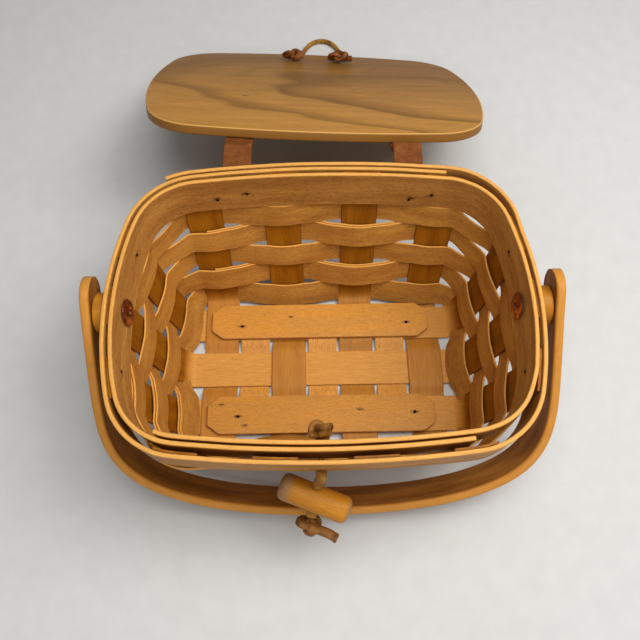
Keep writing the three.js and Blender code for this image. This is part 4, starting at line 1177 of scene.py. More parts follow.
def tint(name, description, hex_colour):
    """A colour that a user may change."""
    limits = {"default": linear(hex_colour)[:3], "min": 0, "max": 1, "size": 3}
    return bpy.props.FloatVectorProperty(name=name, description=description, subtype="COLOR", **limits)


class BasketSizes(bpy.types.PropertyGroup):
    """The sizes a maker would change on the dressed basket"""

    splint_rounding: size("Splint Rounding", "How round the splints' edges are worn", 0.4 * MM, 0, 0.49 * MM)
    band_rounding: size("Band Rounding", "How round the rim bands' edges are worn", 0.6 * MM, 0, 0.99 * MM)
    handle_rounding: size("Handle Rounding", "Radius of the handle's eased edges", 1.5 * MM, 0, 2.2 * MM)
    lid_rounding: size("Lid Rounding", "Radius of the lid's eased edges", 1.0 * MM, 0, 2.5 * MM)
    splint_waver: size("Splint Waver", "How far hand-cut splints stray from true", 0.3 * MM, 0, 1 * MM)
    tack_head: size("Tack Head", "Width of the tacks' hammered heads", 1.7 * MM, 0.5 * MM, 4 * MM)
    lace_width: size("Lace Width", "Width of the lid loop's leather lace", LACE_WIDTH, 2 * MM, 5 * MM)
    table_size: size("Table Size", "Side of the pale table the basket stands on", 6.0, 1.0, 20.0)


class BasketColours(bpy.types.PropertyGroup):
    """The colour of each wood, leather and metal on the basket, and of the table"""

    upright: tint("Uprights", "Splint that stands in the walls and crosses the base", "#9e610b")
    weaver: tint("Weavers", "Splint woven round the walls, and the base's short fillers", "#c0883c")
    cap: tint("Base Caps", "The two pale strips tacked over the base", "#cf8e38")
    band: tint("Rim Bands", "The two bands steamed round the rim", "#cb9148")
    handle: tint("Handle", "The swing handle's steamed hoop", "#b87a31")
    lid: tint("Lid", "The lid's flat-sawn board", "#c28b40")
    dowel: tint("Dowel and Washers", "The toggle's dowel and the handle's washers", "#c4821e")
    strap: tint("Straps", "The leather straps that hinge the lid", "#834d22")
    lace: tint("Laces", "The lid's loop and the toggle's lace", "#b07e34")
    knot: tint("Lid Knots", "The two knots that hold the lid's loop", "#8c5224")
    tail: tint("Toggle Knots", "The knots at the two ends of the toggle's lace", "#966328")
    copper: tint("Rivets", "The copper rivets that the handle swings on", "#c4866a")
    steel: tint("Tacks", "The blued steel tacks", "#2c2019")
    table: tint("Table", "The pale table cover", "#cecfcf")


# How far the strips that lie on the base are painted paler there, partly as rubbing and partly as painted light
CROSS_WORN_AND_LIT = 0.35
LONG_WORN_AND_LIT = 0.85
FILLER_WORN_AND_LIT = 0.75


class MakeUprights(bpy.types.Operator):
    """Makes the uprights, which run down one wall, across the base and up the facing wall"""

    bl_idname = "basket.make_uprights"
    bl_label = "Uprights and Fillers"

    def strip_rows(self, sides, along, width, stops, base_stops, end_level, point_on_base):
        """Rows of one upright: down its first side's wall, through the base's stops and up the other."""
        columns = []
        for stop in stops:
            shift = stop - width / 2
            legs = []
            for side in sides:
                place = place_on(side, along, shift)
                heights = [end_level, *ROW_EDGES[1:-1], RIM_HEIGHT - UPRIGHT_TOP_DROP]
                legs.append([on_wall(place, z, 0) for z in heights])
            base = [point_on_base(distance, shift, level) for distance, level in base_stops]
            columns.append(smooth_through([*legs[0][::-1], *base, *legs[1]], SPLINT_STEP))
        count = min(len(column) for column in columns)
        even = [column[np.round(np.linspace(0, len(column) - 1, count)).astype(int)] for column in columns]
        return np.stack(even, axis=1)

    def execute(self, context):
        sizes = context.scene.basket_sizes
        near = LONG_WIDTH / 2 + CLEARANCE / 2
        far = LONG_CENTRE - near

        def cross_stops(middle, outer):
            return [(-far, outer), (-near, middle), (near, middle), (far, outer)]

        def finish_strip(name, kind, rows, stops, worn):
            look = {"waver": sizes.splint_waver / 2, "worn": worn}
            section = (SPLINT, sizes.splint_rounding)
            laid_strip(name, "basket", f"{kind}_splint", rows, stops, *section, finish(kind), **look)

        names = ("upright_far_left", "upright_left", "upright_right", "upright_far_right")
        stops = across_stops(UPRIGHT_WIDTH, sizes.splint_rounding)
        for index, (name, along) in enumerate(zip(names, CROSS_ALONG)):
            levels = (LOW_LEVEL, HIGH_LEVEL) if index % 2 == 0 else (HIGH_LEVEL, LOW_LEVEL)
            rows = self.strip_rows(
                ("front", "back"),
                along,
                UPRIGHT_WIDTH,
                stops,
                cross_stops(*levels),
                levels[1],
                lambda distance, shift, level, at=along: (at + shift, distance, level),
            )
            finish_strip(name, "upright", rows, stops, CROSS_WORN_AND_LIT)

        stops = across_stops(LONG_WIDTH, sizes.splint_rounding)
        for index, name in enumerate(("upright_long_front", "upright_long_middle", "upright_long_rear")):
            along = (index - 1) * LONG_CENTRE
            rows = self.strip_rows(
                ("left", "right"),
                along,
                LONG_WIDTH,
                stops,
                [(-CROSS_PITCH, MIDDLE_LEVEL), (CROSS_PITCH, MIDDLE_LEVEL)],
                MIDDLE_LEVEL,
                lambda distance, shift, level, at=along: (distance, at + shift, level),
            )
            finish_strip(name, "upright", rows, stops, LONG_WORN_AND_LIT)

        stops = across_stops(FILLER_WIDTH, sizes.splint_rounding)
        end = CAP_CENTRE + CAP_WIDTH / 2 - FOOT_MARGIN
        for index, name in enumerate(("filler_left", "filler_middle", "filler_right")):
            x = (index - 1) * 2 * CROSS_PITCH
            keys = [(-end, HIGH_LEVEL), *cross_stops(LOW_LEVEL, HIGH_LEVEL), (end, HIGH_LEVEL)]
            columns = [
                smooth_through([(x + stop - FILLER_WIDTH / 2, y, level) for y, level in keys], SPLINT_STEP)
                for stop in stops
            ]
            finish_strip(name, "weaver", np.stack(columns, axis=1), stops, FILLER_WORN_AND_LIT)
        return {"FINISHED"}


class MakeWeavers(bpy.types.Operator):
    """Weaves the five rows over and under the fourteen legs, each lapped over its own start"""

    bl_idname = "basket.make_weavers"
    bl_label = "Weavers"

    def execute(self, context):
        sizes = context.scene.basket_sizes
        width = WEAVER_PITCH - WEAVER_GAP
        stops = across_stops(width, sizes.splint_rounding)
        reach = SPLINT + CLEARANCE
        left_lap_start, back_lap_start, lap_bays = 7, 2, 3
        material = finish("weaver")
        for row in range(WEAVER_ROWS):
            low = ROW_EDGES[WEAVER_ROWS - 1 - row] + WEAVER_GAP / 2
            lap_start = left_lap_start if row % 2 == 0 else back_lap_start
            sign = -1 if row % 2 == 0 else 1

            def offset_at(bay):
                after_start = clamp(1 - (bay - lap_start - lap_bays))
                before_end = clamp(1 - (lap_start + LEGS - bay))
                share = max(after_start, before_end)
                layer = -1 if after_start > before_end else 1
                wave = sign * weave_wave(bay)
                out = reach + share * reach / 2 + WEAVER_CROWN * weave_crown(bay)
                return wave * out + layer * share * reach / 2

            lap_end = lap_start + LEGS + lap_bays
            rows = ring_rows(lap_start, lap_end, low, low + width, stops, offset_at, on_weaver)
            section, waver = (SPLINT, sizes.splint_rounding), sizes.splint_waver
            name = f"weaver_{row + 1}"
            laid_strip(name, "basket", "weaver_splint", rows, stops, *section, material, waver=waver)
        return {"FINISHED"}


# Band tacks go in from inside: a wall, the distance along it and the drop below the rim.
BAND_TACKS = (
    ("back", -53, 14.5),
    ("back", -37.4, 11.5),
    ("back", 45.9, 17.4),
    ("back", 57.1, 12.5),
    ("left", 33, 11.9),
    ("left", -30, 9.9),
    ("right", 30, 9.9),
    ("right", -32.5, 11.9),
)


def band_tack_spots():
    """The place and outward direction of each tack's head on the inner band."""
    spots = []
    for side, shift, drop in BAND_TACKS:
        z = RIM_HEIGHT - drop * MM
        point = on_wall(place_on(side, 0, shift * MM), z, -BAND_OUTER)
        spots.append((point, -wall_normal(side, shift * MM, z)))
    return spots


class MakeBands(bpy.types.Operator):
    """Bends the inner and outer rim bands, each lapped over its own start"""

    bl_idname = "basket.make_bands"
    bl_label = "Rim Bands"

    def stand_off(self, bay):
        """The inner band stands further off the uprights along the front wall, legs 9 to 12."""
        share = clamp(min(bay % LEGS - 8, 13 - bay % LEGS))
        return -FRONT_STAND_OFF * share**2 * (3 - 2 * share)

    def execute(self, context):
        rounding = context.scene.basket_sizes.band_rounding
        stops = across_stops(BAND_HEIGHT, rounding, inner=8)
        middle = BAND_INNER + BAND_THICKNESS / 2
        inner_start, inner_end = 8.7, 12
        outer_start, outer_end = 2, 5.3
        rise_bays = 0.75
        worn_off_top = 0.15 * MM
        tack_mark = 1.3 * MM

        def inner_at(bay):
            return self.stand_off(bay) - middle - BAND_LAP * clamp((inner_end + 1 - bay) / rise_bays)

        def outer_at(bay):
            return middle + BAND_LAP * clamp((bay - outer_start - LEGS + 1) / rise_bays)

        for name, start, end, offset_at, tacks in (
            ("inner_band", inner_start, inner_end + LEGS, inner_at, band_tack_spots()),
            ("outer_band", outer_start, outer_end + LEGS, outer_at, ()),
        ):
            rows = ring_rows(start, end, BAND_BOTTOM, RIM_HEIGHT - worn_off_top, stops, offset_at, on_band)
            stains = [(*grain_place(rows, stops, point), tack_mark) for point, _ in tacks]
            section, material = (BAND_THICKNESS, rounding), finish("band", stains)
            laid_strip(name, "basket", "band_wood", rows, stops, *section, material, waver=0.25 * MM)
        return {"FINISHED"}


class MakeHandle(bpy.types.Operator):
    """Bends the swing handle, a rounded hoop with round ends, and lays it down in front"""

    bl_idname = "basket.make_handle"
    bl_label = "Handle"

    def execute(self, context):
        rounding = context.scene.basket_sizes.handle_rounding
        half, rubbed, steps = HANDLE_WIDTH / 2, 0.02 * MM, 200
        ends = []
        for share in (0.95, 0.88, 0.78, 0.66, 0.5, 0.33, 0.16):
            angle = math.pi / 2 * share
            past = HANDLE_END_REACH - half + half * math.sin(angle)
            ends.append(((PIVOT_HALF, -past), half * math.cos(angle)))
        hoop = []
        for k in range(steps + 1):
            angle = math.pi * k / steps
            c = math.cos(angle)
            away = abs(math.sin(angle)) ** (2 / HANDLE_LEG_SQUARENESS)
            half_width = mix(PIVOT_HALF, HANDLE_INNER_HALF, away * (2 - away))
            across = math.copysign(half_width * abs(c) ** (2 / HANDLE_FRONT_SQUARENESS), c)
            hoop.append(((across + HANDLE_LEAN * HANDLE_REACH * away, HANDLE_REACH * away), half))
        far_ends = [((-x, z), width) for (x, z), width in reversed(ends)]
        sections = [*ends, *hoop, *far_ends]
        centres = np.array([centre for centre, _ in sections])
        halves = [width for _, width in sections]
        tangent = np.gradient(centres, axis=0)
        normals = np.stack((tangent[:, 1], -tangent[:, 0]), axis=1)
        normals /= np.linalg.norm(normals, axis=1, keepdims=True)
        middles = centres + normals * HANDLE_THICKNESS / 2

        hoop_outer = HANDLE_REACH + HANDLE_THICKNESS
        corner = math.hypot(hoop_outer, half)
        fall = math.acos((PIVOT_HEIGHT - CLEARANCE) / corner) + math.atan2(half, hoop_outer)
        turn = Matrix.Translation((0, 0, PIVOT_HEIGHT)) @ Matrix.Rotation(math.pi - fall, 4, "X")
        stops = across_stops(HANDLE_WIDTH, rounding, inner=6)
        rows = []
        for (x, z), half_width in zip(middles, halves):
            columns = [(stop - half) / half * (half_width - rubbed) for stop in reversed(stops)]
            rows.append([turn @ Vector((x, y, z)) for y in columns])
        section, look = (HANDLE_THICKNESS, rounding), {"waver": 0.3 * MM, "fray": 0.05 * MM}
        laid_strip("handle", "handle", "handle_wood", rows, stops, *section, finish("handle"), **look)
        return {"FINISHED"}


# Solid pieces


def paint_board(mesh, name, cut_edge, worn=None):
    """Stores a solid wooden piece's grain, which runs along local X, its tone, cut edges, and where it is painted
    paler as wear and a painted highlight.
    """
    places = np.zeros(len(mesh.vertices) * 3, np.float32)
    mesh.vertices.foreach_get("co", places)
    tone = np.full(len(mesh.vertices), piece_tone(name))
    keep_attributes(mesh, grain=places, tone=tone, cut_edge=cut_edge)
    if worn is not None:
        keep_attributes(mesh, worn=worn)


def layered_board(name, rings, material, worn_rings=()):
    """A board from rings of points, bottom to top, each a closed outline with as many points.

    worn_rings numbers the rings that are painted pale, partly as rubbing and partly as a painted highlight.
    """
    count = len(rings[0])
    mesh = bpy.data.meshes.new(name)
    points = [tuple(point) for ring in rings for point in ring]
    faces = []
    for layer in range(len(rings) - 1):
        for k in range(count):
            a, b = layer * count + k, layer * count + (k + 1) % count
            faces.append((a, b, b + count, a + count))
    top = (len(rings) - 1) * count
    faces.append(tuple(reversed(range(count))))
    faces.append(tuple(range(top, top + count)))
    mesh.from_pydata(points, [], faces)
    numbers = np.repeat(np.arange(len(rings)), count)
    cut_edge = (numbers > 0) & (numbers < len(rings) - 1)
    paint_board(mesh, name, cut_edge, np.isin(numbers, worn_rings) * 0.8)
    mesh.shade_smooth()
    mesh.set_sharp_from_angle(angle=math.radians(40))
    mesh.materials.append(material)
    return new_object(name, mesh)


def rounded_layers(outline_at, thickness, rounding, steps=4):
    """Rings of (inset outline, height) up a board with rounded edges. outline_at(inset) lists 2D points."""
    rings = []
    for k in range(steps + 1):
        angle = math.pi / 2 * k / steps
        rings.append((rounding * (1 - math.sin(angle)), rounding * (1 - math.cos(angle))))
    rings += [(inset, thickness - height) for inset, height in reversed(rings)]
    return [[(x, y, height) for x, y in outline_at(inset)] for inset, height in rings]


# Tack heads on the caps, and the marks of old tacks with their sizes, in millimetres
CAP_TACKS = {
    "base_cap_rear": ((-46, 25), (48.4, 26)),
    "base_cap_front": ((-46.6, -29), (49.5, -28)),
}
CAP_MARKS = {
    "base_cap_rear": ((-18, 30.5, 0.9),),
    "base_cap_front": ((-56, -22, 0.9), (-43, -34, 1.0), (19.7, -26, 1.25)),
}


class MakeBaseCaps(bpy.types.Operator):
    """Makes the two thin strips with cut corners that cover the base"""

    bl_idname = "basket.make_base_caps"
    bl_label = "Base Caps"

    def outline(self, inset, softness):
        """A cap's outline, its eight corners softened by one length on the left and one on the right."""
        x, y = CAP_LENGTH / 2 - inset, CAP_WIDTH / 2 - inset
        corners = [
            (-x, y - CAP_CUT_SHORT),
            (-x, CAP_CUT_SHORT - y),
            (CAP_CUT_LONG - x, -y),
            (x - CAP_CUT_LONG, -y),
            (x, CAP_CUT_SHORT - y),
            (x, y - CAP_CUT_SHORT),
            (x - CAP_CUT_LONG, y),
            (CAP_CUT_LONG - x, y),
        ]
        points = []
        for k, corner in enumerate(corners):
            corner, before, after = Vector(corner), Vector(corners[k - 1]), Vector(corners[(k + 1) % 8])
            soft = softness[0] if corner.x < 0 else softness[1]
            start = corner + (before - corner).normalized() * soft
            end = corner + (after - corner).normalized() * soft
            for step in range(5):
                t = step / 4
                points.append(start.lerp(corner, t).lerp(corner.lerp(end, t), t))
        return [tuple(point) for point in points]

    def execute(self, context):
        for name, side, softness in (
            ("base_cap_rear", 1, (0.8 * MM, 0.8 * MM)),
            ("base_cap_front", -1, (0.8 * MM, 2.6 * MM)),
        ):
            rings = rounded_layers(lambda inset: self.outline(inset, softness), CAP_THICKNESS, 0.5 * MM)
            centre = Vector((CAP_SHIFT, side * CAP_CENTRE, CAP_BOTTOM))
            marks = [(x, y, 1.3) for x, y in CAP_TACKS[name]] + list(CAP_MARKS[name])
            stains = [(x * MM - centre.x, y * MM - centre.y, width * MM) for x, y, width in marks]
            obj = layered_board(f"fine_{name}", rings, finish("cap", stains))
            obj.data.transform(Matrix.Translation(centre))
            settle(obj, "basket", "base_cap_wood", name)
        return {"FINISHED"}


def lid_frame():
    """Takes a point of the shut lid to where it lies when the lid is thrown open."""
    turn = Matrix.Rotation(-LID_OPEN, 4, HINGE_AXIS)
    return Matrix.Translation(HINGE) @ turn @ Matrix.Translation(-HINGE)


# A small tight knot in the board, along and across its grain, and its size
BOARD_KNOTS = ((-41 * MM, 20 * MM, 1.1 * MM),)


class MakeLid(bpy.types.Operator):
    """Saws the board lid, eases its edges and lays it open behind the basket"""

    bl_idname = "basket.make_lid"
    bl_label = "Lid"

    def execute(self, context):
        rounding = context.scene.basket_sizes.lid_rounding

        def outline_at(inset):
            outline = Outline(
                LID_LENGTH / 2 - inset,
                LID_WIDTH / 2 - inset,
                LID_CORNER_RADIUS - inset,
                LID_END_RADIUS - inset,
                LID_SIDE_RADIUS - inset,
            )
            steps = 240
            return [tuple(outline.at(4 * outline.quarter * k / steps)[0]) for k in range(steps)]

        rings = rounded_layers(outline_at, LID_THICKNESS, rounding, steps=6)
        # The eased edge round the board's face is painted bright, partly rubbed and partly a painted highlight.
        obj = layered_board("fine_lid", rings, finish("lid", BOARD_KNOTS), worn_rings=(1, 2, 3))
        centre = Vector((-LID_SET_LEFT, (LID_REAR + LID_FRONT) / 2, LID_BOTTOM))
        obj.data.transform(lid_frame() @ Matrix.Translation(centre))
        settle(obj, "lid", "lid_wood", "lid")
        return {"FINISHED"}


def turned_piece(name, profile, material, segments=56):
    """Turns a closed profile of (radius, height) about Z; a profile that starts off the axis makes a ring."""
    mesh = bpy.data.meshes.new(name)
    made = bmesh.new()
    ring = [made.verts.new((radius, 0, height)) for radius, height in profile]
    closed = profile[0][0] > 0
    pairs = list(zip(ring, ring[1:])) + ([(ring[-1], ring[0])] if closed else [])
    edges = [made.edges.new(pair) for pair in pairs]
    bmesh.ops.spin(
        made,
        geom=ring + edges,
        cent=(0, 0, 0),
        axis=(0, 0, 1),
        angle=2 * math.pi,
        steps=segments,
        use_merge=True,
    )
    bmesh.ops.remove_doubles(made, verts=made.verts, dist=1e-6)
    bmesh.ops.recalc_face_normals(made, faces=made.faces)
    made.to_mesh(mesh)
    made.free()
    mesh.shade_smooth()
    mesh.set_sharp_from_angle(angle=math.radians(42))
    mesh.materials.append(material)
    return new_object(name, mesh)


def eased_side(radius, near, far, ease, steps):
    """A turned piece's side from near to far along its axis, as the curves that ease its two corners."""
    arc = [math.pi / 2 * k / steps for k in range(steps + 1)]
    first = [(radius - ease + ease * math.sin(a), near + ease - ease * math.cos(a)) for a in arc]
    last = [(radius - ease + ease * math.cos(a), far - ease + ease * math.sin(a)) for a in arc]
    return first, last


# A rivet's outline from inside the basket out. Its inner end is rolled into a ring round a hole, in shares
# of the shank's radius and millimetres deep, and sits in a burr, in shares of the head's radius. Its outer
# end is a low dome, in shares of the head's radius and height.
ROLLED_RING = ((0, 1.1), (0.5, 1.05), (0.66, 0.6), (0.8, 0.2), (1, 0), (1.2, 0.08), (1.36, 0.4))
BURR = ((0.66, 0.62), (0.86, 0.55), (0.96, 0.72), (1, 1.04), (0.98, 1.3))
LOW_DOME = ((0.98, 1), (1, 0.85), (0.93, 0.55), (0.72, 0.2), (0.35, 0.02), (0, 0))


class MakePivots(bpy.types.Operator):
    """Makes the copper rivets and wooden washers that the handle swings on"""

    bl_idname = "basket.make_pivots"
    bl_label = "Rivets and Washers"

    def execute(self, context):
        for side, sense in (("left", -1), ("right", 1)):
            low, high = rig.box(f"rivet_{side}")
            inner, outer = (low.x, high.x) if sense > 0 else (-high.x, -low.x)
            place = Matrix.Translation((0, 0, PIVOT_HEIGHT)) @ Matrix.Rotation(sense * math.pi / 2, 4, "Y")
            head, shank, tall = (high.z - low.z) / 2, 2.6 * MM, 1.3 * MM
            profile = [(shank * across, inner + depth * MM) for across, depth in ROLLED_RING]
            profile += [(head * across, inner + depth * MM) for across, depth in BURR]
            profile += [(shank, inner + tall), (shank, outer - tall)]
            profile += [(head * across, outer - tall * depth) for across, depth in LOW_DOME]
            rivet = turned_piece(f"fine_rivet_{side}", profile, finish("copper"))
            for vertex in rivet.data.vertices:
                if vertex.co.z < inner + tall * 1.5:
                    vertex.co.z -= sense * vertex.co.x * BAND_LEAN_ENDS / BAND_HEIGHT
            rivet.data.transform(place)
            settle(rivet, "basket", "copper", f"rivet_{side}")

            low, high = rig.box(f"washer_{side}")
            near, far = (low.x, high.x) if sense > 0 else (-high.x, -low.x)
            bore = shank + CLEARANCE
            first, last = eased_side((high.z - low.z) / 2, near, far, 1.0 * MM, 4)
            profile = [(bore, near), *first, *last, (bore, far)]
            washer = turned_piece(f"fine_washer_{side}", profile, finish("dowel"))
            paint_board(washer.data, f"washer_{side}", np.zeros(len(washer.data.vertices)))
            washer.data.transform(place)
            settle(washer, "basket", "handle_wood", f"washer_{side}")
        return {"FINISHED"}


class MakeStraps(bpy.types.Operator):
    """Cuts the two leather straps that hinge the lid to the outer band"""

    bl_idname = "basket.make_straps"
    bl_label = "Leather Straps"

    def execute(self, context):
        opened = lid_frame()
        stops = across_stops(STRAP_WIDTH, STRAP_ROUNDING, inner=8)
        under_strap = BAND_OUTER + BAND_LAP + CLEARANCE
        band_top = RIM_HEIGHT - STRAP_BELOW_RIM
        off = STRAP_THICKNESS / 2
        for name, centre, skew in zip(("strap_left", "strap_right"), STRAP_X, STRAP_SKEW):
            columns = []
            for stop in stops:
                shift = stop - STRAP_WIDTH / 2
                place = place_on("back", 0, centre + shift)

                def on_outer_band(below):
                    return Vector(on_wall(place, band_top - below, under_strap + off))

                def on_lid(inward):
                    point = Vector((centre + skew + shift, LID_REAR - inward, LID_TOP + CLEARANCE + off))
                    return opened @ point

                start, edge = on_outer_band(0), on_lid(0)
                lifted = edge + (edge - on_lid(STRAP_ON_LID)).normalized() * STRAP_LIFT
                middle = lifted.lerp(start, 0.2)
                middle.z = band_top + STRAP_LIFT * 0.65
                rise = start + Vector((0, STRAP_LIFT * 0.3 - off * 0.3, STRAP_LIFT * 0.8 - off * 0.4))
                keys = [
                    on_outer_band(STRAP_ON_BAND),
                    on_outer_band(STRAP_ON_BAND / 2),
                    start,
                    rise,
                    middle,
                    lifted,
                    edge,
                    on_lid(STRAP_ON_LID / 2),
                    on_lid(STRAP_ON_LID),
                ]
                columns.append(smooth_through(keys, STRAP_STEP))
            count = min(len(column) for column in columns)
            even = [column[np.linspace(0, len(column) - 1, count).astype(int)] for column in columns]
            rows = np.stack(even, axis=1)
            look = {"waver": 0.3 * MM, "fray": 0.1 * MM}
            obj = strip(f"fine_{name}", rows, stops, STRAP_THICKNESS, STRAP_ROUNDING, finish("strap"), **look)
            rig.replaces(obj, name)
            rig.slot(obj, "strap_leather")
            start = Vector((centre, rows[:, :, 1].min() + 3 * MM, band_top))
            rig.blend(obj, "basket", "lid", start=start, end=opened @ Vector((centre, LID_REAR, LID_TOP)))
        return {"FINISHED"}


# Laces


def lace(name, points, width, flatness, seed, material, resolution=10, tilt=0.0):
    """A lace along a smooth path through the points, and the path itself."""
    curve = bpy.data.curves.new(name, "CURVE")
    curve.dimensions = "3D"
    path = catmull_rom(points, resolution)
    spline = curve.splines.new("POLY")
    spline.points.add(len(path) - 1)
    for spot, point in zip(spline.points, path):
        spot.co = (*point, 1)
        spot.tilt = tilt
    obj = new_object(name, curve)
    return grown(obj, "lace", width=width, flatness=flatness, seed=seed, material=material), path


def catmull_rom(points, resolution):
    """A smooth path through the points, with as many steps between each two."""
    points = [Vector(point) for point in points]
    padded = [points[0] * 2 - points[1], *points, points[-1] * 2 - points[-2]]
    path = []
    for k in range(len(points) - 1):
        a, b, c, d = padded[k : k + 4]
        for step in range(resolution):
            t = step / resolution
            bend = (2 * a - 5 * b + 4 * c - d) * t**2 + (3 * b - a - 3 * c + d) * t**3
            path.append(0.5 * (2 * b + (c - a) * t + bend))
    path.append(points[-1])
    return path


def path_length(path):
    """The length of a line of points."""
    return sum((b - a).length for a, b in zip(path, path[1:]))


def knot_points(scale, stub_a, stub_b):
    """An overhand knot: two thirds of a trefoil with its two ends left sticking out."""
    points = [Vector(stub_a)]
    for k in range(15):
        t = 0.5 + (2 * math.pi - 1.0) * k / 14
        x = math.sin(t) + 2 * math.sin(2 * t)
        y = math.cos(t) - 2 * math.cos(2 * t)
        points.append(Vector((x, y, -1.15 * math.sin(3 * t))) * scale)
    points.append(Vector(stub_b))
    return points


def tied_knot(name, body, shape, width, flatness, seed, kind, place):
    """A knot of lace in its place on its body."""
    knot, _ = lace(f"fine_{name}", shape, width, flatness, seed, finish(kind), resolution=8)
    knot.data.transform(place)
    return settle(knot, body, "lace_leather", name)


# The lid's two knots: which way each is turned, and where its two cut ends stick out to
LID_KNOT_ENDS = {
    "lid_knot_left": (2.6, Vector((4.4, 3.4, 1.2)) * MM, Vector((-4.2, 5.0, 0.4)) * MM),
    "lid_knot_right": (0.5, Vector((-5.2, -3.0, 0.8)) * MM, Vector((6.2, -2.2, 0.8)) * MM),
}
LID_KNOT_SIZE = 1.45 * MM
LID_KNOT_LACE = 3.9 * MM
LID_KNOT_PULL = (1.3, 0.88, 1, 1)
LID_KNOT_SHIFT = Vector((0, 1.1 * MM, 0))


class MakeLidLoop(bpy.types.Operator):
    """Ties the lace loop into the lid: two knots inside, the loop lying on the table"""

    bl_idname = "basket.make_lid_loop"
    bl_label = "Lid Loop"

    def execute(self, context):
        opened = lid_frame()
        shut = opened.inverted()
        loop_y = LID_FRONT + LOOP_FROM_EDGE
        left, right = (LOOP_CENTRE + side * LOOP_SPACING / 2 for side in (-1, 1))
        on_top = LID_TOP + CLEARANCE + LACE_WIDTH / 2
        far = (opened @ Vector((LOOP_CENTRE, LID_FRONT, LID_TOP))).y + LOOP_REACH

        def on_table(x, back):
            return Vector((x, far - back, CLEARANCE * 1.5 + LACE_WIDTH / 2))

        def on_lid(x, y, z):
            return opened @ Vector((x, y, z))

        points = [
            on_lid(left, loop_y, LID_BOTTOM),
            on_lid(left, loop_y, LID_TOP),
            on_lid(left, loop_y - 0.6 * MM, on_top + 0.3 * MM),
            on_lid(left, loop_y - 2.2 * MM, on_top + 1.1 * MM),
            on_lid(left + 0.5 * MM, loop_y - 5.5 * MM, on_top + 0.5 * MM),
            on_lid(left + 1 * MM, LID_FRONT + 4 * MM, on_top),
            on_table(left + 1.5 * MM, LOOP_REACH - 3 * MM),
            on_table(left + 4 * MM, 10 * MM),
            on_table(LOOP_CENTRE - 5 * MM, 2 * MM),
            on_table(LOOP_CENTRE + 2.5 * MM, 0),
            on_table(LOOP_CENTRE + 9 * MM, 3 * MM),
            on_table(right - 1 * MM, 11 * MM),
            on_table(right - 0.5 * MM, LOOP_REACH - 3 * MM),
            on_lid(right - 0.7 * MM, LID_FRONT + 4 * MM, on_top),
            on_lid(right - 0.5 * MM, loop_y - 5.5 * MM, on_top + 0.5 * MM),
            on_lid(right, loop_y - 2.2 * MM, on_top + 1.1 * MM),
            on_lid(right, loop_y - 0.6 * MM, on_top + 0.3 * MM),
            on_lid(right, loop_y, LID_TOP),
            on_lid(right, loop_y, LID_BOTTOM),
        ]
        width = context.scene.basket_sizes.lace_width
        loop, path = lace("fine_lid_loop", points, width, 0.85, 1.0, finish("lace"))
        settle(loop, "lid", "lace_leather", "lid_loop")
        knots = []
        for x, (name, (turn, *stubs)) in zip((left, right), LID_KNOT_ENDS.items()):
            shape = knot_points(LID_KNOT_SIZE, *stubs)
            low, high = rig.box(name)
            centre = shut @ ((low + high) / 2) + LID_KNOT_SHIFT
            pulled = Matrix.Diagonal(LID_KNOT_PULL) @ Matrix.Rotation(turn, 4, "Z")
            place = opened @ Matrix.Translation(centre) @ pulled
            knots.append(tied_knot(name, "lid", shape, LID_KNOT_LACE, 0.68, x / MM, "knot", place))
        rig.cord(
            loop,
            exit=path[0],
            length=path_length(path),
            diameter=width,
            far_end="object",
            stiffness="medium",
            lay="loose",
            path=path,
            with_pieces=knots,
        )
        return {"FINISHED"}


DOWEL_LENGTH = 34 * MM
DOWEL_EASE = 3.4 * MM
DOWEL_YAW = math.radians(-21)
DOWEL_TILT = math.radians(8)
# How far from each end its end grain shows, in widths of its easing; the left end is worn rounder.
DOWEL_END_GRAIN = (1.75, 0.7)
TOGGLE_LACE_WIDTH = 4.8 * MM
TOGGLE_KNOT_FROM_PIVOT = Vector((-6, -16.5, -34)) * MM
TOGGLE_KNOT_SIZE = 1.4 * MM
TOGGLE_KNOT_HALF = 4.8 * MM
TOGGLE_TAIL_LENGTH = 14.4 * MM
TOGGLE_TAIL_YAW = math.radians(-28)
INNER_KNOT_SIZE = 1.5 * MM
INNER_KNOT_LACE = 4.2 * MM
INNER_KNOT_SHIFT = Vector((0, 0.6, 1.6)) * MM
INNER_KNOT_TURN = 0.95


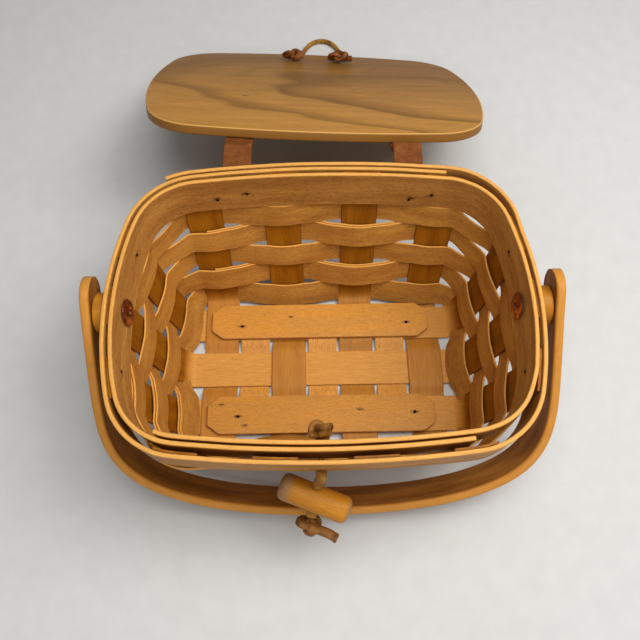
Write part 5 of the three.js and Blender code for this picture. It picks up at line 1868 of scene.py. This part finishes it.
class MakeToggle(bpy.types.Operator):
    """Hangs the dowel toggle on its knotted lace at the front"""

    bl_idname = "basket.make_toggle"
    bl_label = "Toggle"

    def execute(self, context):
        swing, turn = joint("toggle_swing"), joint("toggle_turn")
        pivot, centre = Vector(swing["pos_m"]), Vector(turn["pos_m"])
        along = Vector(turn["axis"]).normalized()

        low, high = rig.box("toggle_dowel")
        radius = (high.z - low.z) / 2
        length, ease = DOWEL_LENGTH, DOWEL_EASE
        first, last = eased_side(radius, 0, length, ease, 6)
        between = [(radius, mix(ease, length - ease, k / 16)) for k in range(1, 16)]
        profile = [(0, 0), *first, *between, *last, (0, length)]
        dowel = turned_piece("fine_toggle_dowel", profile, finish("dowel"))
        mesh = dowel.data
        mesh.transform(Matrix.Rotation(math.pi / 2, 4, "Y") @ Matrix.Translation((0, 0, -length / 2)))
        ends = []
        for vertex in mesh.vertices:
            reach = ease * DOWEL_END_GRAIN[vertex.co.x >= 0]
            ends.append(clamp((abs(vertex.co.x) - length / 2 + reach) / (ease * 0.5)))
        paint_board(mesh, "toggle_dowel", ends)
        tilted = Matrix.Rotation(DOWEL_YAW, 4, "Z") @ Matrix.Rotation(DOWEL_TILT, 4, "Y")
        mesh.transform(Matrix.Translation(centre) @ tilted)
        settle(dowel, "dowel", "dowel_wood", "toggle_dowel")

        knot_centre = pivot + TOGGLE_KNOT_FROM_PIVOT
        knot_top = knot_centre - along * (TOGGLE_KNOT_HALF + 2 * CLEARANCE)
        points = [
            pivot,
            pivot + Vector((0, -1.5, -0.1)) * MM,
            pivot + Vector((-0.5, -3.4, -2.2)) * MM,
            centre - along * radius,
            centre + along * radius,
            knot_top,
        ]
        hang = {"resolution": 12, "tilt": math.pi / 2}
        cord, path = lace("fine_toggle_lace", points, TOGGLE_LACE_WIDTH, 0.45, 3.0, finish("lace"), **hang)
        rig.replaces(cord, "toggle_lace")
        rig.slot(cord, "lace_leather")
        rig.blend(cord, "basket", "toggle", start=pivot, end=points[2])

        out = Vector((math.cos(TOGGLE_TAIL_YAW), math.sin(TOGGLE_TAIL_YAW), 0))
        tail = out * TOGGLE_TAIL_LENGTH - Vector((0, 0, 1 * MM))
        shape = knot_points(TOGGLE_KNOT_SIZE, -along * 4.6 * MM, tail)
        shape.insert(-1, tail * 0.62 + Vector((0, 0, 0.8 * MM)))
        place = Matrix.Translation(knot_centre)
        knot = tied_knot("toggle_knot", "toggle", shape, TOGGLE_LACE_WIDTH, 0.55, 5.0, "tail", place)

        low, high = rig.box("toggle_inner_knot")
        shape = knot_points(INNER_KNOT_SIZE, (0.5 * MM, -5 * MM, 0), (4.2 * MM, 2.6 * MM, 4.2 * MM))
        seat = (low + high) / 2 + INNER_KNOT_SHIFT
        place = Matrix.Translation(seat) @ Matrix.Rotation(INNER_KNOT_TURN, 4, "X")
        tied_knot("toggle_inner_knot", "basket", shape, INNER_KNOT_LACE, 0.65, 7.0, "tail", place)

        low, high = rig.box("toggle_lace_stub")
        middle = (low + high) / 2
        stub_points = [(middle.x, mix(high.y, low.y, k / 4), middle.z) for k in range(5)]
        stub, _ = lace("fine_toggle_lace_stub", stub_points, LACE_WIDTH, 0.8, 9.0, finish("lace"))
        settle(stub, "basket", "lace_leather", "toggle_lace_stub")
        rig.cord(
            cord,
            exit=path[0],
            length=path_length(path),
            diameter=LACE_WIDTH,
            far_end="knot",
            stiffness="medium",
            lay="hanging",
            path=path,
            with_pieces=[dowel, knot],
        )
        return {"FINISHED"}


class MakeTacks(bpy.types.Operator):
    """Drives the tacks that hold the bands, caps, straps and lid"""

    bl_idname = "basket.make_tacks"
    bl_label = "Tacks"

    def heads(self, name, body, spots, nodes, sizes):
        """One piece of tack heads, from their places and outward directions."""
        mesh = bpy.data.meshes.new(name)
        mesh.from_pydata([tuple(point) for point, _ in spots], [], [])
        keep_attributes(mesh, outward=[tuple(outward) for _, outward in spots])
        points = new_object(name, mesh)
        obj = grown(points, "tacks", head=sizes.tack_head, seed=len(spots), material=finish("steel"))
        settle(obj, body, "tack_steel", *nodes)

    def execute(self, context):
        sizes = context.scene.basket_sizes
        up = Vector((0, 0, 1))
        cap_top = CAP_BOTTOM + CAP_THICKNESS
        on_caps = [(Vector((x * MM, y * MM, cap_top)), up) for spots in CAP_TACKS.values() for x, y in spots]
        opened = lid_frame()
        seat = LID_TOP + CLEARANCE + STRAP_THICKNESS
        inward = STRAP_ON_LID * TACK_SHARE_ON_STRAP
        z = RIM_HEIGHT - STRAP_BELOW_RIM - STRAP_ON_BAND * TACK_SHARE_ON_STRAP
        off = BAND_OUTER + BAND_LAP + CLEARANCE + STRAP_THICKNESS
        on_straps, on_lid = [], []
        for x in [centre + side * STRAP_WIDTH / 4 for centre in STRAP_X for side in (-1, 1)]:
            on_straps.append((on_wall(place_on("back", 0, x), z, off), wall_normal("back", x, z)))
            on_lid.append((opened @ Vector((x, LID_REAR - inward, seat)), opened.to_3x3() @ up))
        for kind, body, spots in (
            ("band", "basket", band_tack_spots()),
            ("cap", "basket", on_caps),
            ("strap", "basket", on_straps),
            ("lid", "lid", on_lid),
        ):
            nodes = [f"{kind}_tack_{number + 1}" for number in range(len(spots))]
            self.heads(f"fine_{kind}_tacks", body, spots, nodes, sizes)
        return {"FINISHED"}


# Stage and camera


CAMERA_PLACE = Vector((-2.45, -146.79, 370.18)) * MM
CAMERA_PITCH = math.radians(64.326)
CAMERA_YAW = math.radians(0.415)
CAMERA_ROLL = math.radians(-0.614)
FOCAL_PIXELS = 698.8
FRAME_PIXELS = 640
SENSOR = 36.0
# Each lamp's name, place, the point it is aimed at, width, energy and colour
LAMPS = (
    ("ceiling", (0.09, -0.02, 0.74), (0, 0.03, 0), 0.58, 3.15, "#fffcf8"),
    ("window", (0.45, 0.05, 0.7), (0, 0.03, 0.03), 0.46, 3.5, "#fffbf5"),
    ("room", (0.0, -0.75, 0.6), (0, 0.03, 0.03), 0.7, 2.35, "#fffdfa"),
)
ROOM_COLOUR = "#f6f7f7"
ROOM_STRENGTH = 0.2


class MakeStage(bpy.types.Operator):
    """Sets the pale table, the soft lights and the camera"""

    bl_idname = "basket.make_stage"
    bl_label = "Stage"

    def camera(self, scene):
        """A camera that stands and looks as the photo's did."""
        forward = Vector(
            (
                math.sin(CAMERA_YAW) * math.cos(CAMERA_PITCH),
                math.cos(CAMERA_YAW) * math.cos(CAMERA_PITCH),
                -math.sin(CAMERA_PITCH),
            )
        )
        level = forward.cross(Vector((0, 0, 1))).normalized()
        over = level.cross(forward)
        right = level * math.cos(CAMERA_ROLL) + over * math.sin(CAMERA_ROLL)
        up = over * math.cos(CAMERA_ROLL) - level * math.sin(CAMERA_ROLL)
        data = bpy.data.cameras.new("camera")
        data.sensor_width = SENSOR
        data.lens = FOCAL_PIXELS / FRAME_PIXELS * SENSOR
        data.clip_start = 0.01
        camera = new_object("camera", data)
        turned = Matrix((right, up, -forward)).transposed().to_4x4()
        camera.matrix_world = Matrix.Translation(CAMERA_PLACE) @ turned
        scene.camera = camera

    def lamp(self, name, place, target, width, energy, hex_colour):
        """A round soft lamp, aimed at a point."""
        data = bpy.data.lights.new(name, "AREA")
        data.shape = "DISK"
        data.size = width
        data.energy = energy
        data.color = linear(hex_colour)[:3]
        lamp = new_object(name, data)
        lamp.location = place
        lamp.rotation_mode = "QUATERNION"
        lamp.rotation_quaternion = (Vector(target) - Vector(place)).to_track_quat("-Z", "Y")

    def execute(self, context):
        scene = context.scene
        half = scene.basket_sizes.table_size / 2
        mesh = bpy.data.meshes.new("table")
        corners = [(-half, -half, 0), (half, -half, 0), (half, half, 0), (-half, half, 0)]
        mesh.from_pydata(corners, [], [(0, 1, 2, 3)])
        mesh.materials.append(table_cover([*scene.basket_colours.table, 1.0]))
        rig.stage(new_object("table", mesh))
        self.camera(scene)
        for row in LAMPS:
            self.lamp(*row)
        world = bpy.data.worlds.new("soft_room")
        world.use_nodes = True
        background = world.node_tree.nodes["Background"]
        background.inputs["Color"].default_value = linear(ROOM_COLOUR)
        background.inputs["Strength"].default_value = ROOM_STRENGTH
        scene.world = world
        scene.view_settings.view_transform = "Standard"
        return {"FINISHED"}


class BasketPanel(bpy.types.Panel):
    """Lists the pieces in the sidebar"""

    bl_idname = "VIEW3D_PT_basket"
    bl_label = "Splint Basket"
    bl_space_type = "VIEW_3D"
    bl_region_type = "UI"
    bl_category = "Basket"

    def draw(self, context):
        for group in (context.scene.basket_sizes, context.scene.basket_colours):
            for key in group.bl_rna.properties.keys():
                if key not in ("rna_type", "name"):
                    self.layout.prop(group, key)
        for operator in OPERATORS:
            self.layout.operator(operator.bl_idname)


OPERATORS = (
    MakeStage,
    MakeLidLoop,
    MakeToggle,
    MakeUprights,
    MakeWeavers,
    MakeBands,
    MakeBaseCaps,
    MakeHandle,
    MakePivots,
    MakeLid,
    MakeStraps,
    MakeTacks,
)
CLASSES = (BasketSizes, BasketColours, *OPERATORS, BasketPanel)


def register():
    for cls in CLASSES:
        bpy.utils.register_class(cls)
    bpy.types.Scene.basket_sizes = bpy.props.PointerProperty(type=BasketSizes)
    bpy.types.Scene.basket_colours = bpy.props.PointerProperty(type=BasketColours)


def unregister():
    del bpy.types.Scene.basket_sizes
    del bpy.types.Scene.basket_colours
    for cls in reversed(CLASSES):
        bpy.utils.unregister_class(cls)


def main():
    register()
    for operator in OPERATORS:
        group, name = operator.bl_idname.split(".")
        if getattr(getattr(bpy.ops, group), name)() != {"FINISHED"}:
            raise RuntimeError(f"{operator.bl_label} was not made")
    bpy.context.view_layer.update()
    sizes = {"cad": CAD_BOX, "visual": [list(corner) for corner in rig.bounds()]}
    with open("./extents.json", "w") as out:
        json.dump(sizes, out)


if __name__ == "__main__":
    main()
